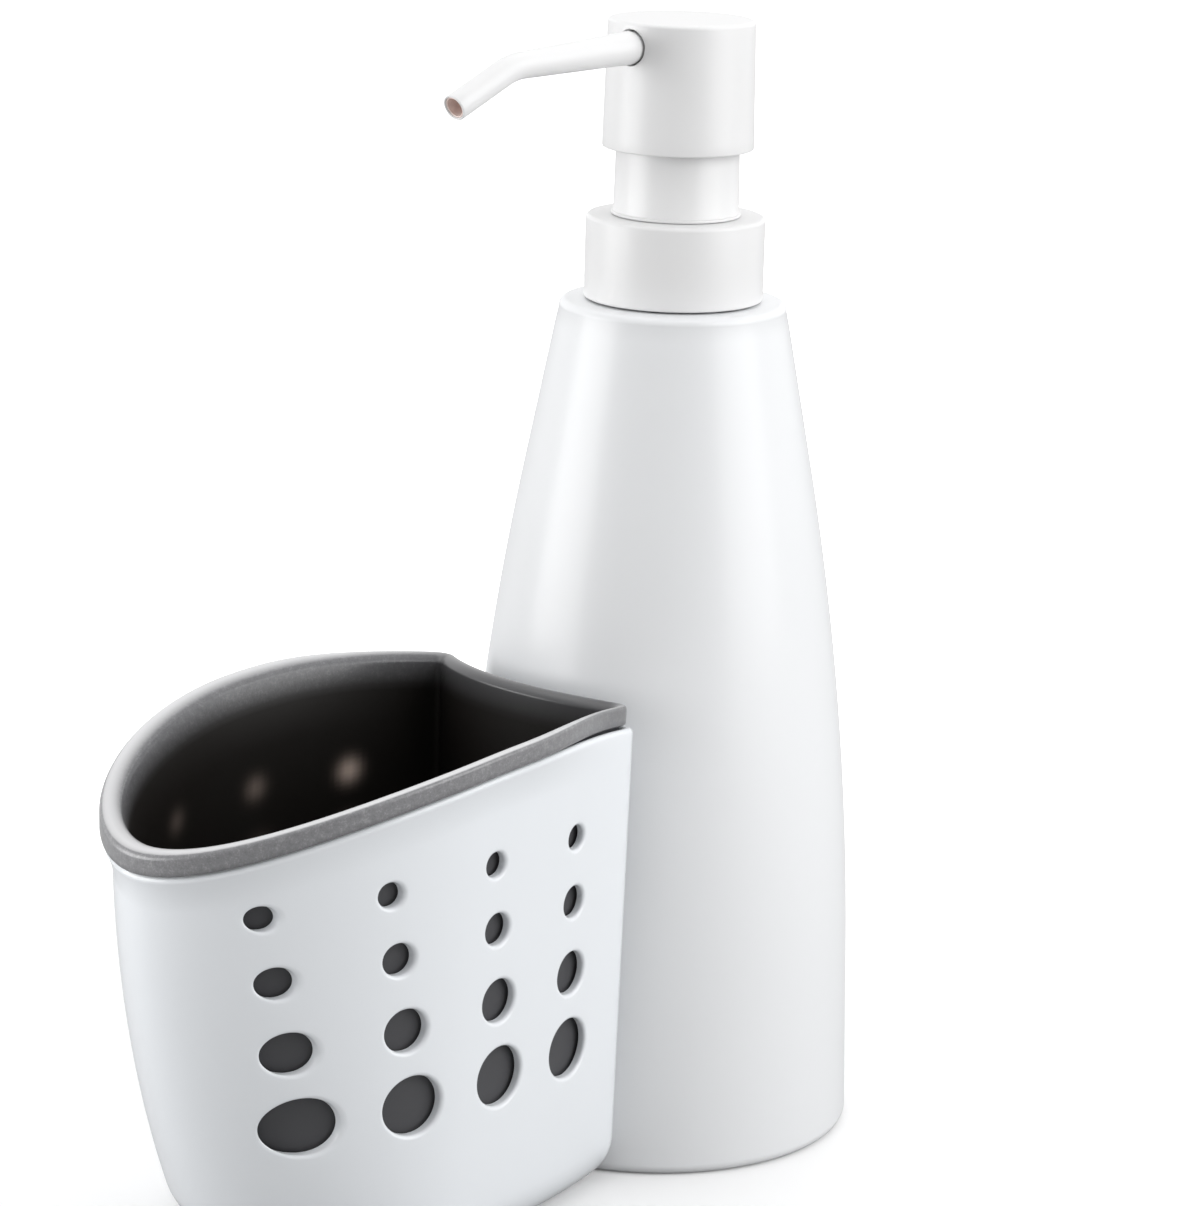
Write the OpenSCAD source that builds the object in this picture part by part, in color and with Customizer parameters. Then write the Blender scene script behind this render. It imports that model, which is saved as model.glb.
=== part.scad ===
/* [Bottle] */
// Radius of the bottle where it stands
base_r = 43.9; // [40:0.1:48]
// Height of the flat shoulder above the floor
shoulder_z = 181.3; // [172:0.1:195]
// Radius of the flank just under the shoulder
shoulder_r = 23.9; // [22.5:0.1:26]
// Height at which the straight foot starts to bend in
bend_start_z = 40; // [30:1:60]
// Height at which the bend ends and the straight cone starts
bend_end_z = 145; // [130:1:160]
// Lean of the foot, in degrees
foot_lean = 1.9; // [1:0.1:2.5]
// Wall of the bottle
bottle_wall = 2; // [1.5:0.1:3]
// Rounding of the bottle's foot
foot_round = 2.2; // [1:0.1:4]
// Rounding of the bottle's shoulder
shoulder_round = 1.6; // [0.8:0.1:2.5]

/* [Neck thread] */
// Root radius of the neck
neck_r = 12.4; // [12:0.1:13]
// Radius of the neck's mouth
mouth_r = 10.9; // [10.7:0.1:11.2]
// Height of the neck above the shoulder
neck_h = 12.3; // [11:0.1:14]
// Rise of the thread in one turn
thread_pitch = 4.2; // [3.6:0.1:4.8]
// Height of the thread above its root
thread_h = 1.2; // [0.8:0.05:1.3]
// Width of the thread at its root
thread_root_w = 2; // [1.4:0.1:2.2]
// Width of the thread at its crest
thread_crest_w = 0.9; // [0.6:0.1:1.1]
// Turns of thread on the neck
neck_turns = 1.75; // [1.25:0.25:2]
// Turns of thread in the closure
closure_turns = 1.25; // [1:0.25:1.5]

/* [Collar] */
// Outer radius of the collar
collar_r = 19; // [18:0.1:21]
// Height of the collar
collar_h = 17.7; // [16:0.1:19]
// Gap between the shoulder and the collar
collar_gap = 0.4; // [0.3:0.1:1.2]
// Wall of the collar's outer shell
collar_wall = 1.5; // [1:0.1:2]
// Wall of the threaded closure
closure_wall = 1.4; // [1.1:0.1:1.8]
// Ribs between the closure and the collar
closure_ribs = 24; // [12:2:36]
// Thickness of the neck gasket
gasket_t = 1.2; // [0.8:0.1:1.6]

/* [Pump] */
// Outer radius of the neck sleeve under the head
sleeve_r = 13.3; // [12.8:0.1:13.6]
// Height of the sleeve above the collar
sleeve_h = 15.4; // [14.4:0.1:17]
// Wall of the sleeve
sleeve_wall = 1.3; // [1:0.1:1.6]
// Radius of the pump's cylinder bore
cylinder_r = 7.4; // [7:0.1:7.8]
// Wall of the pump's cylinder
cylinder_wall = 1.2; // [1:0.1:1.5]
// Length of the pump's cylinder below the neck's mouth
cylinder_len = 41.6; // [38:0.1:48]
// Outer radius of the stem
stem_r = 3.9; // [3.5:0.1:4.2]
// Bore radius of the stem
stem_bore_r = 1.9; // [1.5:0.1:2.2]
// How far the head is pressed
stroke = 12; // [8:0.5:12]
// Radius of the inlet ball
ball_r = 2.4; // [2:0.1:2.6]
// How far the inlet ball lifts
ball_lift = 1.2; // [0.8:0.1:1.4]
// How far the piston slides on the stem to open it
valve_travel = 0.8; // [0.5:0.1:1]
// Outer radius of the dip tube
dip_r = 3; // [2.5:0.1:3.2]
// Bore radius of the dip tube
dip_bore_r = 2; // [1.6:0.1:2.3]
// Height of the dip tube's lower end above the floor
dip_foot_z = 8; // [5:0.5:20]

/* [Spring] */
// Mean radius of the spring's coils
spring_r = 5; // [4.7:0.1:5.4]
// Thickness of the spring's wire
spring_wire = 1.1; // [0.8:0.1:1.3]
// Coils of the spring
spring_coils = 8; // [6:1:9]

/* [Head] */
// Radius of the head at its foot
head_foot_r = 16; // [15.7:0.1:17]
// Radius of the head at its top
head_top_r = 15.5; // [15:0.1:16]
// Height of the head
head_h = 27; // [25:0.1:30]
// Gap between the collar's top and the head's foot at rest
head_gap = 14.2; // [13:0.1:15]
// Wall of the head's shell
head_wall = 1.2; // [1:0.1:1.4]
// Rounding of the head's top edge
head_round = 0.8; // [0.4:0.1:1.2]
// Depth of the spout's axis below the head's top
spout_drop = 4.4; // [4.2:0.1:6]

/* [Spout] */
// Outer radius of the spout where it leaves the head
spout_root_r = 3.5; // [3.1:0.1:3.6]
// Outer radius of the spout after its bend
spout_tip_r = 2.8; // [2.6:0.1:3]
// Bore radius of the spout
spout_bore_r = 2.3; // [1.8:0.1:2.4]
// Distance of the bend from the pump's axis
spout_reach = 46.5; // [36:0.5:55]
// Length of the spout after its bend
spout_tail = 14.5; // [10:0.5:30]
// Fall of the spout's first run, in degrees
spout_fall = 2.7; // [0:0.1:5]
// Fall of the spout after its bend, in degrees
spout_tip_fall = 24; // [12:1:40]
// Radius of the spout's bend
spout_bend_r = 16; // [10:1:18]

/* [Caddy] */
// Length of the caddy from the bottle's side to its nose
caddy_len = 101; // [90:1:112]
// Width of the caddy at its widest
caddy_w = 75.5; // [70:0.5:82]
// Gap between the bottle's foot and the caddy
nest_gap = 0.7; // [0.4:0.1:1.5]
// Height of the rim's highest point
rim_z = 107.3; // [100:0.1:116]
// Radius of the arch that the rim follows, seen from the side
rim_arch_r = 184; // [170:1:300]
// Radius of the nose's curve, seen from the side
belly_r = 200; // [170:1:260]
// Height at which the nose stands out farthest
belly_z = 87; // [80:1:92]
// Lean of the caddy's long walls, in degrees
side_draft = 1.17; // [0.5:0.01:2]
// Radius of the long walls' bow towards the bottle
side_bow_r = 161; // [150:1:220]
// Rounding of the two corners beside the bottle
corner_r = 5.6; // [5:0.1:7]
// Rounding of the shell's bottom edge
bottom_round = 10; // [7:0.5:11]
// Wall of the shell
shell_wall = 2; // [1.6:0.1:2.4]
// Flare of the shell's lip
lip_flare = 1.8; // [1.5:0.1:2.6]
// Height of the shell's flared lip
lip_h = 8.5; // [6:0.5:10]

/* [Caddy holes] */
// Height of each row of holes at the rim's crest
row_z = [82.8, 69, 53.6, 37.2]; // [20:0.1:90]
// Diameter of the holes in each row
hole_d = [5.2, 6.7, 9.1, 12.6]; // [4:0.1:14]
// Distance between the holes of each row, along the wall
hole_pitch = [25.7, 24.6, 23.5, 22.4]; // [20:0.1:27]
// Distance of the first column from the bottle's side of the caddy
column_start = 15.3; // [14:0.1:20]
// Distance of the rows' crest from the bottle's side of the caddy
row_crest = 33; // [15:1:45]
// Radius of the arch that the rows follow
row_arch_r = 350; // [250:10:900]

/* [Liner] */
// Wall of the liner
liner_wall = 1.8; // [1.4:0.1:2.2]
// Gap between the liner and the shell
liner_gap = 0.7; // [0.5:0.1:0.8]
// Gap between the liner's foot and the shell's floor
foot_gap = 0.3; // [0.2:0.05:0.5]
// How far the rim stands out past the shell's wall at the nose
rim_over = 2.5; // [2:0.1:3]
// How far the rim stands in from the shell's wall beside the bottle
rim_in = 1.3; // [1:0.1:1.4]
// Length over which the lip and rim pass from one to the other
flare_len = 35; // [25:1:50]
// Width of the rim's top, which slopes inwards
rim_w = 4.4; // [3.5:0.1:5]
// Slope of the rim's top at its inner edge, in degrees
rim_tilt = 45; // [25:1:50]
// Rounding of the rim's outer edge
rim_edge = 0.8; // [0.3:0.1:1.2]
// Rounding of the rim's inner edge
rim_round = 0.7; // [0.4:0.1:1]
// Height of the rim's outer band
band_h = 4.2; // [3.3:0.1:4.6]
// How much farther down the band reaches at the nose
band_more = 0.2; // [0:0.1:2]
// Thickness of the rim's outer band
band_t = 1.3; // [1:0.1:1.4]
// Rounding of the band's turned-under edge
band_round = 0.8; // [0.4:0.1:0.9]
// Gap between the band and the shell's lip
band_gap = 0.4; // [0.3:0.1:0.8]

/* [Keeper] */
// Height of the keeper's foot on the bottle
keeper_z = 70; // [66:1:72]
// Height of the keeper
keeper_h = 14; // [10:1:15]
// Width of the keeper's head
keeper_w = 12; // [10:0.5:14]
// Width of the keeper's web
keeper_web_w = 6; // [5:0.5:7]
// Thickness of the keeper's head
keeper_t = 1.1; // [0.9:0.1:1.2]
// Thickness of the caddy's hooks that grip the keeper
hook_t = 1; // [0.8:0.1:1.2]
// Play between the keeper and the hooks
keeper_play = 0.35; // [0.3:0.05:0.4]

/* [Fits] */
// Radial play of a part that slides or turns in another
running_play = 0.05; // [0.02:0.01:0.08]
// Play between parts that turn or lie loosely beside each other
loose_play = 0.1; // [0.08:0.01:0.2]
// Play between the two threads
thread_play = 0.35; // [0.25:0.05:0.4]
// How far a cutting shape overruns what it cuts
overrun = 1; // [0.5:0.1:2]

/* [Hidden] */
$fn = 96;

// Heights of the neck and the collar
neck_top_z = shoulder_z + neck_h;
collar_z = shoulder_z + collar_gap;
collar_top_z = collar_z + collar_h;
closure_top_z = collar_top_z - collar_wall;
flange_top_z = closure_top_z - closure_wall - loose_play;
flange_z = neck_top_z + gasket_t;
flange_r = neck_r + loose_play;
spigot_r = mouth_r - cylinder_wall - thread_play;
passage_r = spigot_r + running_play;

// Heights inside the pump
cylinder_z = neck_top_z - cylinder_len;
counter_z = neck_top_z - neck_h / 6;
cage_t = cylinder_wall;
seat_r = ball_r * 0.75;
ball_way_r = ball_r + thread_play;
ball_drop = ball_r + sqrt(pow(ball_r, 2) - pow(seat_r, 2));
seat_z = cylinder_z - cage_t - ball_lift - ball_drop - loose_play;
ball_z = seat_z + ball_drop - ball_r + running_play;
tail_z = seat_z - cylinder_wall - 3 * dip_r;
plug_t = cylinder_wall;
plug_r = spring_r + spring_wire / 2 + loose_play;
stop_h = cylinder_wall;
stop_r = stem_r + sleeve_wall;
piston_h = cylinder_r * 0.8;
plug_z = counter_z - 2 * loose_play - stop_h - valve_travel - piston_h - plug_t;
piston_z = plug_z + plug_t + loose_play;
stem_z = piston_z;
cap_t = cylinder_wall / 2;
cap_z = plug_z - running_play - cap_t;
seal_h = sleeve_wall;
seal_r = stem_r + sleeve_wall * 1.5;

// Heights of the head
head_z = collar_top_z + head_gap;
head_top_z = head_z + head_h;
spout_z = head_top_z - spout_drop;
sleeve_z = collar_top_z + loose_play;
sleeve_top_z = sleeve_z + sleeve_h;
sleeve_flange_r = sleeve_r + sleeve_wall / 3;
core_z = sleeve_top_z + stroke + loose_play;
core_r = stem_r + head_wall * 3;
stem_top_z = spout_z - spout_bore_r - 2 * loose_play;

// Places along the caddy, measured from the bottle's axis
nest_r = base_r + nest_gap;
widest_share = 0.459;
crest_share = 0.245;
nose_s = nest_r + caddy_len;
widest_s = nest_r + caddy_len * widest_share;
crest_s = nest_r + caddy_len * crest_share;
nose_power = 1.9;
liner_off = -shell_wall - liner_gap;
liner_in_off = liner_off - liner_wall;
lip_drop = band_h + band_gap;
corner_min_share = 0.3;

// Points round half of the caddy's outline: nest arc, corner, bowed side, nose
arc_n = 7;
corner_n = 4;
bow_n = 5;
nose_n = 12;
half_n = arc_n + corner_n + bow_n + nose_n;

// How far the spout's bend turns
spout_turn = spout_tip_fall - spout_fall;

// Radius of the bottle at a height
bend_lean = bend_end_lean();
bend_r = (bend_end_z - bend_start_z) / (sin(bend_lean) - sin(foot_lean));
function foot_r_at(z) = base_r - z * tan(foot_lean);
// The lean of the cone that meets the shoulder's radius, by halving the range
function cone_top_r(lean) = let (r = (bend_end_z - bend_start_z) / (sin(lean) - sin(foot_lean)))
    foot_r_at(bend_start_z) - r * (cos(foot_lean) - cos(lean)) - (shoulder_z - bend_end_z) * tan(lean);
function bend_end_lean(low = foot_lean * 1.2, high = 30, n = 30) = n == 0 ? (low + high) / 2
    : cone_top_r((low + high) / 2) > shoulder_r ? bend_end_lean((low + high) / 2, high, n - 1)
    : bend_end_lean(low, (low + high) / 2, n - 1);
function bend_r_at(z) = let (a = asin(sin(foot_lean) + (z - bend_start_z) / bend_r))
    foot_r_at(bend_start_z) - bend_r * (cos(foot_lean) - cos(a));
function bottle_r(z) = z <= bend_start_z ? foot_r_at(z)
    : z <= bend_end_z ? bend_r_at(z)
    : bend_r_at(bend_end_z) - (z - bend_end_z) * tan(bend_lean);

// Radius at which the caddy's hooks reach behind the keeper's head
hook_in = bottle_r(keeper_z) + keeper_play;

// Arc of a profile, about a centre, from one angle to another
function arc_pts(cx, cy, r, from, to, n) = [for (i = [0 : n]) let (a = from + (to - from) * i / n)
    [cx + r * cos(a), cy + r * sin(a)]];

// Half width of the caddy and place of its nose at a height
function half_w(z) = caddy_w / 2 - (rim_z - z) * tan(side_draft);
function nose_at(z) = nose_s - belly_r + sqrt(pow(belly_r, 2) - pow(max(0, belly_z - z), 2));
// Height of the rim's top along the caddy
function rim_at(s) = rim_z - rim_arch_r + sqrt(pow(rim_arch_r, 2) - pow(s - crest_s, 2));
// How much farther down the band and the lip lie towards the nose
function nose_fall(s) = band_more * pow(max(0, (s - crest_s) / (nose_s - crest_s)), 3);
// Half width of the outline at a place along the caddy
function side_at(s, w, nose) = s > widest_s
    ? w * pow(max(0, 1 - pow(min(1, (s - widest_s) / (nose - widest_s)), nose_power)), 1 / nose_power)
    : w - side_bow_r + sqrt(pow(side_bow_r, 2) - pow(widest_s - s, 2));
// Where the long wall meets the nest's arc
function corner_s(w, r, s, n = 10) = n == 0 ? s
    : corner_s(w, r, sqrt(pow(r, 2) - pow(side_at(s, w, nose_s), 2)), n - 1);
// Point j of half the outline, for a wall set off outwards by off, at height z
function plan_pt(j, off, z) = let (
        w = half_w(z) + off,
        nose = nose_at(z) + off,
        r = nest_r - off,
        c = corner_s(w, r, r),
        round = max(corner_r + off, corner_r * corner_min_share),
        corner = [c, side_at(c, w, nose)],
        arc_end = atan2(corner[1], corner[0]) - round / r * 180 / PI,
        side_s = c + round,
        a = [r * cos(arc_end), r * sin(arc_end)],
        b = [side_s, side_at(side_s, w, nose)],
        t = (j - arc_n) / (corner_n + 1),
        u = (j - arc_n - corner_n - 1) / (bow_n - 1),
        v = (j - arc_n - corner_n - bow_n) / nose_n,
        s_bow = side_s + (widest_s - side_s) * u)
    j <= arc_n ? [r * cos(arc_end * j / arc_n), r * sin(arc_end * j / arc_n)]
    : j <= arc_n + corner_n ? a * pow(1 - t, 2) + corner * 2 * t * (1 - t) + b * pow(t, 2)
    : j <= arc_n + corner_n + bow_n ? [s_bow, side_at(s_bow, w, nose)]
    : [widest_s + (nose - widest_s) * pow(sin(90 * v), 2 / nose_power), w * pow(cos(90 * v), 2 / nose_power)];
// The same point in space: near is the set-off beside the bottle, rise is a flat height, share is how far
// the point follows the rim's arch, and fall how far it follows the band down at the nose
function wall_pt(j, off, near, rise, share, fall) = let (
        guess = plan_pt(j, off, rise + share * rim_z),
        z = rise + share * rim_at(guess[0]) - fall * nose_fall(guess[0]),
        far = min(1, max(0, (guess[0] - nest_r) / flare_len)),
        mix = far * far * (3 - 2 * far),
        p = near == off ? plan_pt(j, off, z) : plan_pt(j, near, z) * (1 - mix) + plan_pt(j, off, z) * mix)
    [-p[0], p[1], rise + share * rim_at(p[0]) - fall * nose_fall(p[0])];
// A closed ring round the caddy
function wall_ring(off, near, rise, share, fall = 0) = let (
        half = [for (j = [0 : half_n]) wall_pt(j, off, near, rise, share, fall)])
    concat(half, [for (j = [half_n - 1 : -1 : 1]) [half[j][0], -half[j][1], half[j][2]]]);

// A solid skinned over rings, closed at both ends with a fan round a middle point
module skin(rings) {
    n = len(rings[0]);
    m = len(rings);
    middle_x = -widest_s;
    points = concat([for (ring = rings) each ring],
        [[middle_x, 0, rings[0][0][2]], [middle_x, 0, rings[m - 1][0][2]]]);
    sides = [for (k = [0 : m - 2]) for (j = [0 : n - 1]) let (i = (j + 1) % n)
        each [[k * n + i, k * n + j, (k + 1) * n + i], [(k + 1) * n + i, k * n + j, (k + 1) * n + j]]];
    caps = [for (j = [0 : n - 1]) let (i = (j + 1) % n)
        each [[m * n, j, i], [m * n + 1, (m - 1) * n + i, (m - 1) * n + j]]];
    polyhedron(points = points, faces = concat(sides, caps), convexity = 8);
}

// A helical thread: hand is 1 on an outer thread and -1 in a bore, and root is the surface it stands on
module thread(root, hand, z, turns, phase) {
    steps = 24;
    sink = overrun / 5;
    count = floor(turns * steps);
    function fade(k) = min(1, (k + 1) * 3 / steps, (count - k + 1) * 3 / steps);
    function section(k) = let (a = phase + 360 * k / steps, h = z + thread_pitch * k / steps, f = fade(k),
            inner = root - hand * sink, outer = root + hand * thread_h * f)
        [for (p = [[inner, -thread_root_w / 2], [outer, -thread_crest_w / 2],
            [outer, thread_crest_w / 2], [inner, thread_root_w / 2]])
            [p[0] * cos(a), p[0] * sin(a), h + p[1]]];
    points = [for (k = [0 : count]) each section(k)];
    sides = [for (k = [0 : count - 1]) for (j = [0 : 3]) let (i = (j + 1) % 4)
        each [[4 * k + i, 4 * k + j, 4 * k + 4 + j], [4 * k + i, 4 * k + 4 + j, 4 * k + 4 + i]]];
    ends = [[0, 1, 2], [0, 2, 3],
        [4 * count + 2, 4 * count + 1, 4 * count], [4 * count + 3, 4 * count + 2, 4 * count]];
    faces = concat(sides, ends);
    polyhedron(points = points, faces = hand < 0 ? faces : [for (f = faces) [f[2], f[1], f[0]]], convexity = 6);
}

// A ring or tube about the upright axis
module tube(outer, inner, z, h) {
    translate([0, 0, z]) difference() {
        cylinder(r = outer, h = h);
        translate([0, 0, -overrun]) cylinder(r = inner, h = h + 2 * overrun);
    }
}

// Blown bottle with its threaded neck and the keeper that the caddy hangs on
module bottle() {
    shoulder_start_z = shoulder_z - shoulder_round;
    steps = 24;
    flank = [for (i = [0 : steps]) let (z = bend_start_z + (bend_end_z - bend_start_z) * i / steps)
        [bottle_r(z), z]];
    inner_steps = 16;
    top_in_z = shoulder_z - bottle_wall;
    inner_flank = [for (i = [inner_steps : -1 : 0])
        let (z = bend_start_z + (bend_end_z - bend_start_z) * i / inner_steps)
        [bottle_r(z) - bottle_wall, z]];
    outer = concat([[0, 0]],
        arc_pts(foot_r_at(foot_round) - foot_round, foot_round, foot_round, -90, 0, 5),
        flank,
        arc_pts(bottle_r(shoulder_start_z) - shoulder_round, shoulder_start_z, shoulder_round, 0, 90, 5),
        [[neck_r, shoulder_z], [neck_r, neck_top_z], [mouth_r, neck_top_z], [mouth_r, top_in_z]],
        [[bottle_r(top_in_z) - bottle_wall - shoulder_round, top_in_z]],
        inner_flank,
        [[foot_r_at(bottle_wall + foot_round) - bottle_wall, bottle_wall + foot_round]],
        [[foot_r_at(0) - bottle_wall - foot_round, bottle_wall], [0, bottle_wall]]);
    recess_out_r = base_r - foot_round * 3;
    recess_in_r = neck_r;
    recess_h = bottle_wall / 3;
    web_in = bottle_r(keeper_z + keeper_h) - bottle_wall / 6;
    head_out = hook_in + hook_t + keeper_play + keeper_t;
    thread_z = neck_top_z - thread_root_w - neck_turns * thread_pitch;
    color([0.93, 0.94, 0.95]) {
        difference() {
            rotate_extrude() polygon(outer);
            translate([0, 0, -recess_h]) tube(recess_out_r, recess_in_r, 0, 2 * recess_h);
        }
        thread(neck_r, 1, thread_z, neck_turns, 0);
        translate([-head_out, -keeper_web_w / 2, keeper_z])
            cube([head_out - web_in, keeper_web_w, keeper_h]);
        translate([-head_out, -keeper_w / 2, keeper_z]) cube([keeper_t, keeper_w, keeper_h]);
    }
}

// Smooth outer shell of the collar
module collar_shell() {
    rounding = collar_wall / 2;
    profile = concat([[passage_r, closure_top_z], [collar_r - collar_wall, closure_top_z],
        [collar_r - collar_wall, collar_z], [collar_r - rounding / 2, collar_z],
        [collar_r, collar_z + rounding / 2]],
        arc_pts(collar_r - rounding, collar_top_z - rounding, rounding, 0, 90, 4),
        [[passage_r, collar_top_z]]);
    color([0.9, 0.9, 0.9]) rotate_extrude() polygon(profile);
}

// Threaded closure pressed into the collar's shell
module closure() {
    bore_r = neck_r + thread_h + thread_play;
    skirt_r = bore_r + closure_wall;
    skirt_z = collar_z + collar_gap;
    rib_r = collar_r - collar_wall - running_play;
    rib_w = closure_wall / 2;
    thread_z = neck_top_z - thread_root_w - closure_turns * thread_pitch - thread_pitch / 2;
    turn_gap = neck_turns - closure_turns;
    color([0.86, 0.87, 0.86]) {
        tube(skirt_r, bore_r, skirt_z, closure_top_z - skirt_z);
        tube(rib_r, passage_r, closure_top_z - closure_wall, closure_wall);
        for (k = [0 : closure_ribs - 1]) rotate([0, 0, 360 * k / closure_ribs])
            translate([skirt_r - closure_wall / 2, -rib_w / 2, skirt_z])
                cube([rib_r - loose_play - skirt_r + closure_wall / 2, rib_w, closure_top_z - skirt_z]);
        thread(bore_r, -1, thread_z, closure_turns, 360 * turn_gap);
    }
}

// Gasket between the neck and the pump's flange
module neck_gasket() {
    color([0.25, 0.25, 0.26]) tube(flange_r, mouth_r, neck_top_z, gasket_t);
}

// White sleeve that the head slides over, clipped into the pump's housing
module chaplet() {
    top_r = sleeve_r - sleeve_wall / 5;
    flange_t = sleeve_wall / 2;
    deck_t = sleeve_wall * 1.4;
    guide_r = stem_r + running_play;
    guide_out_r = stem_r + sleeve_wall;
    foot_guide_r = stem_r + loose_play;
    profile = [
        [foot_guide_r, counter_z], [spigot_r, counter_z], [spigot_r, sleeve_z],
        [sleeve_flange_r, sleeve_z], [sleeve_flange_r, sleeve_z + flange_t],
        [sleeve_r, sleeve_z + flange_t], [top_r, sleeve_top_z - flange_t],
        [top_r - flange_t, sleeve_top_z], [seal_r, sleeve_top_z],
        [seal_r, sleeve_top_z - seal_h], [guide_r, sleeve_top_z - seal_h],
        [guide_r, sleeve_top_z - seal_h - sleeve_h / 3], [guide_out_r, sleeve_top_z - seal_h - sleeve_h / 3],
        [guide_out_r, sleeve_top_z - seal_h - sleeve_wall],
        [top_r - sleeve_wall, sleeve_top_z - seal_h - sleeve_wall],
        [sleeve_r - sleeve_wall, sleeve_z + deck_t], [spigot_r - sleeve_wall, sleeve_z + deck_t],
        [spigot_r - sleeve_wall, counter_z + sleeve_wall], [foot_guide_r, counter_z + sleeve_wall]];
    color([0.9, 0.9, 0.9]) rotate_extrude() polygon(profile);
}

// Wiper seal round the stem, in the sleeve's top
module stem_seal() {
    color([0.8, 0.8, 0.8]) tube(seal_r, stem_r + running_play, sleeve_top_z - seal_h, seal_h);
}

// Pump housing: flange on the neck, cylinder, ball seat and dip tube socket
module housing() {
    head_r = spigot_r + cylinder_wall;
    out_r = cylinder_r + cylinder_wall;
    tail_r = dip_r + cylinder_wall;
    profile = [
        [spigot_r, flange_top_z], [flange_r, flange_top_z], [flange_r, flange_z], [head_r, flange_z],
        [head_r, counter_z - cylinder_wall * 2], [out_r, counter_z - cylinder_wall * 4],
        [out_r, seat_z], [tail_r, seat_z - cylinder_wall * 2], [tail_r, tail_z], [dip_r, tail_z],
        [dip_r, seat_z - cylinder_wall], [seat_r, seat_z - cylinder_wall], [seat_r, seat_z],
        [ball_way_r, seat_z], [ball_way_r, cylinder_z - cage_t], [cylinder_r, cylinder_z - cage_t],
        [cylinder_r, counter_z], [spigot_r, counter_z]];
    color([0.88, 0.9, 0.9]) rotate_extrude() polygon(profile);
}

// Slotted disc that keeps the inlet ball down and carries the spring
module ball_cage() {
    slots = 4;
    color([0.85, 0.85, 0.85]) difference() {
        translate([0, 0, cylinder_z - cage_t]) cylinder(r = cylinder_r - loose_play, h = cage_t);
        for (k = [0 : slots - 1]) rotate([0, 0, 360 * k / slots])
            translate([ball_r, 0, cylinder_z - cage_t - overrun])
                cylinder(r = ball_r / 3, h = cage_t + 2 * overrun);
    }
}

// Steel ball of the inlet valve
module inlet_ball() {
    color([0.7, 0.72, 0.74]) translate([0, 0, ball_z]) sphere(r = ball_r);
}

// Return spring between the ball cage and the stem's plug, one unbroken tube
module return_spring() {
    wire_r = spring_wire / 2;
    low = cylinder_z + wire_r;
    high = cap_z - wire_r - running_play;
    per_coil = 8;
    sides_n = 6;
    count = spring_coils * per_coil;
    function centre(k) = let (a = 360 * k / per_coil, t = k / count)
        [spring_r * cos(a), spring_r * sin(a), low + (high - low) * t];
    function ring(k) = let (a = 360 * k / per_coil, c = centre(k))
        [for (j = [0 : sides_n - 1]) let (b = 360 * j / sides_n)
            c + wire_r * [cos(b) * cos(a), cos(b) * sin(a), sin(b)]];
    points = [for (k = [0 : count]) each ring(k)];
    faces = concat(
        [for (k = [0 : count - 1]) for (j = [0 : sides_n - 1]) let (i = (j + 1) % sides_n, q = k * sides_n)
            each [[q + j, q + i, q + sides_n + i], [q + j, q + sides_n + i, q + sides_n + j]]],
        [for (j = [1 : sides_n - 2]) [0, j + 1, j]],
        [for (j = [1 : sides_n - 2]) [count * sides_n, count * sides_n + j, count * sides_n + j + 1]]);
    least = min([for (k = [0 : count - per_coil]) for (m = [-1 : 1]) let (i = k + per_coil + m)
        if (i <= count) norm(centre(i) - centre(k)) - spring_wire]);
    echo("return spring, least gap to itself", least);
    color([0.75, 0.76, 0.78]) polyhedron(points = points, faces = faces, convexity = 10);
}

// Washer between the spring and the stem's plug, which lets the stem turn on the spring
module spring_cap() {
    color([0.85, 0.85, 0.85]) tube(plug_r, spring_r - spring_wire, cap_z, cap_t);
}

// Plug in the stem's lower end, which also closes the piston's ports
module valve_plug() {
    color([0.85, 0.85, 0.85]) {
        translate([0, 0, plug_z]) cylinder(r = plug_r, h = plug_t);
        translate([0, 0, plug_z]) cylinder(r = stem_bore_r, h = plug_t + piston_h / 4);
    }
}

// Piston ring that slides a little on the stem and seals in the cylinder
module piston() {
    lip = cylinder_wall / 2;
    out_r = cylinder_r - running_play;
    in_r = stem_r + running_play;
    waist_r = out_r - lip;
    profile = [[in_r, piston_z], [out_r - lip, piston_z], [out_r, piston_z + lip],
        [out_r, piston_z + 2 * lip], [waist_r, piston_z + 3 * lip], [waist_r, piston_z + piston_h - 3 * lip],
        [out_r, piston_z + piston_h - 2 * lip], [out_r, piston_z + piston_h - lip],
        [out_r - lip, piston_z + piston_h], [in_r, piston_z + piston_h]];
    color([0.8, 0.82, 0.84]) rotate_extrude() polygon(profile);
}

// Hollow stem with its side ports and the collar that stops the piston
module stem() {
    stop_z = piston_z + piston_h + valve_travel;
    port_r = stem_bore_r * 0.6;
    port_z = stem_z + piston_h / 3;
    color([0.88, 0.88, 0.88]) difference() {
        union() {
            translate([0, 0, stem_z]) cylinder(r = stem_r, h = stem_top_z - stem_z);
            translate([0, 0, stop_z]) cylinder(r = stop_r, h = stop_h);
        }
        translate([0, 0, stem_z - overrun]) cylinder(r = stem_bore_r, h = stem_top_z - stem_z + 2 * overrun);
        translate([0, 0, port_z + port_r]) rotate([0, 90, 0])
            cylinder(r = port_r, h = 2 * (stem_r + overrun), center = true);
    }
}

// Dip tube down to the bottle's floor, cut straight
module dip_tube() {
    color([0.87, 0.9, 0.91]) tube(dip_r, dip_bore_r, dip_foot_z, seat_z - cylinder_wall - dip_foot_z);
}

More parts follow.
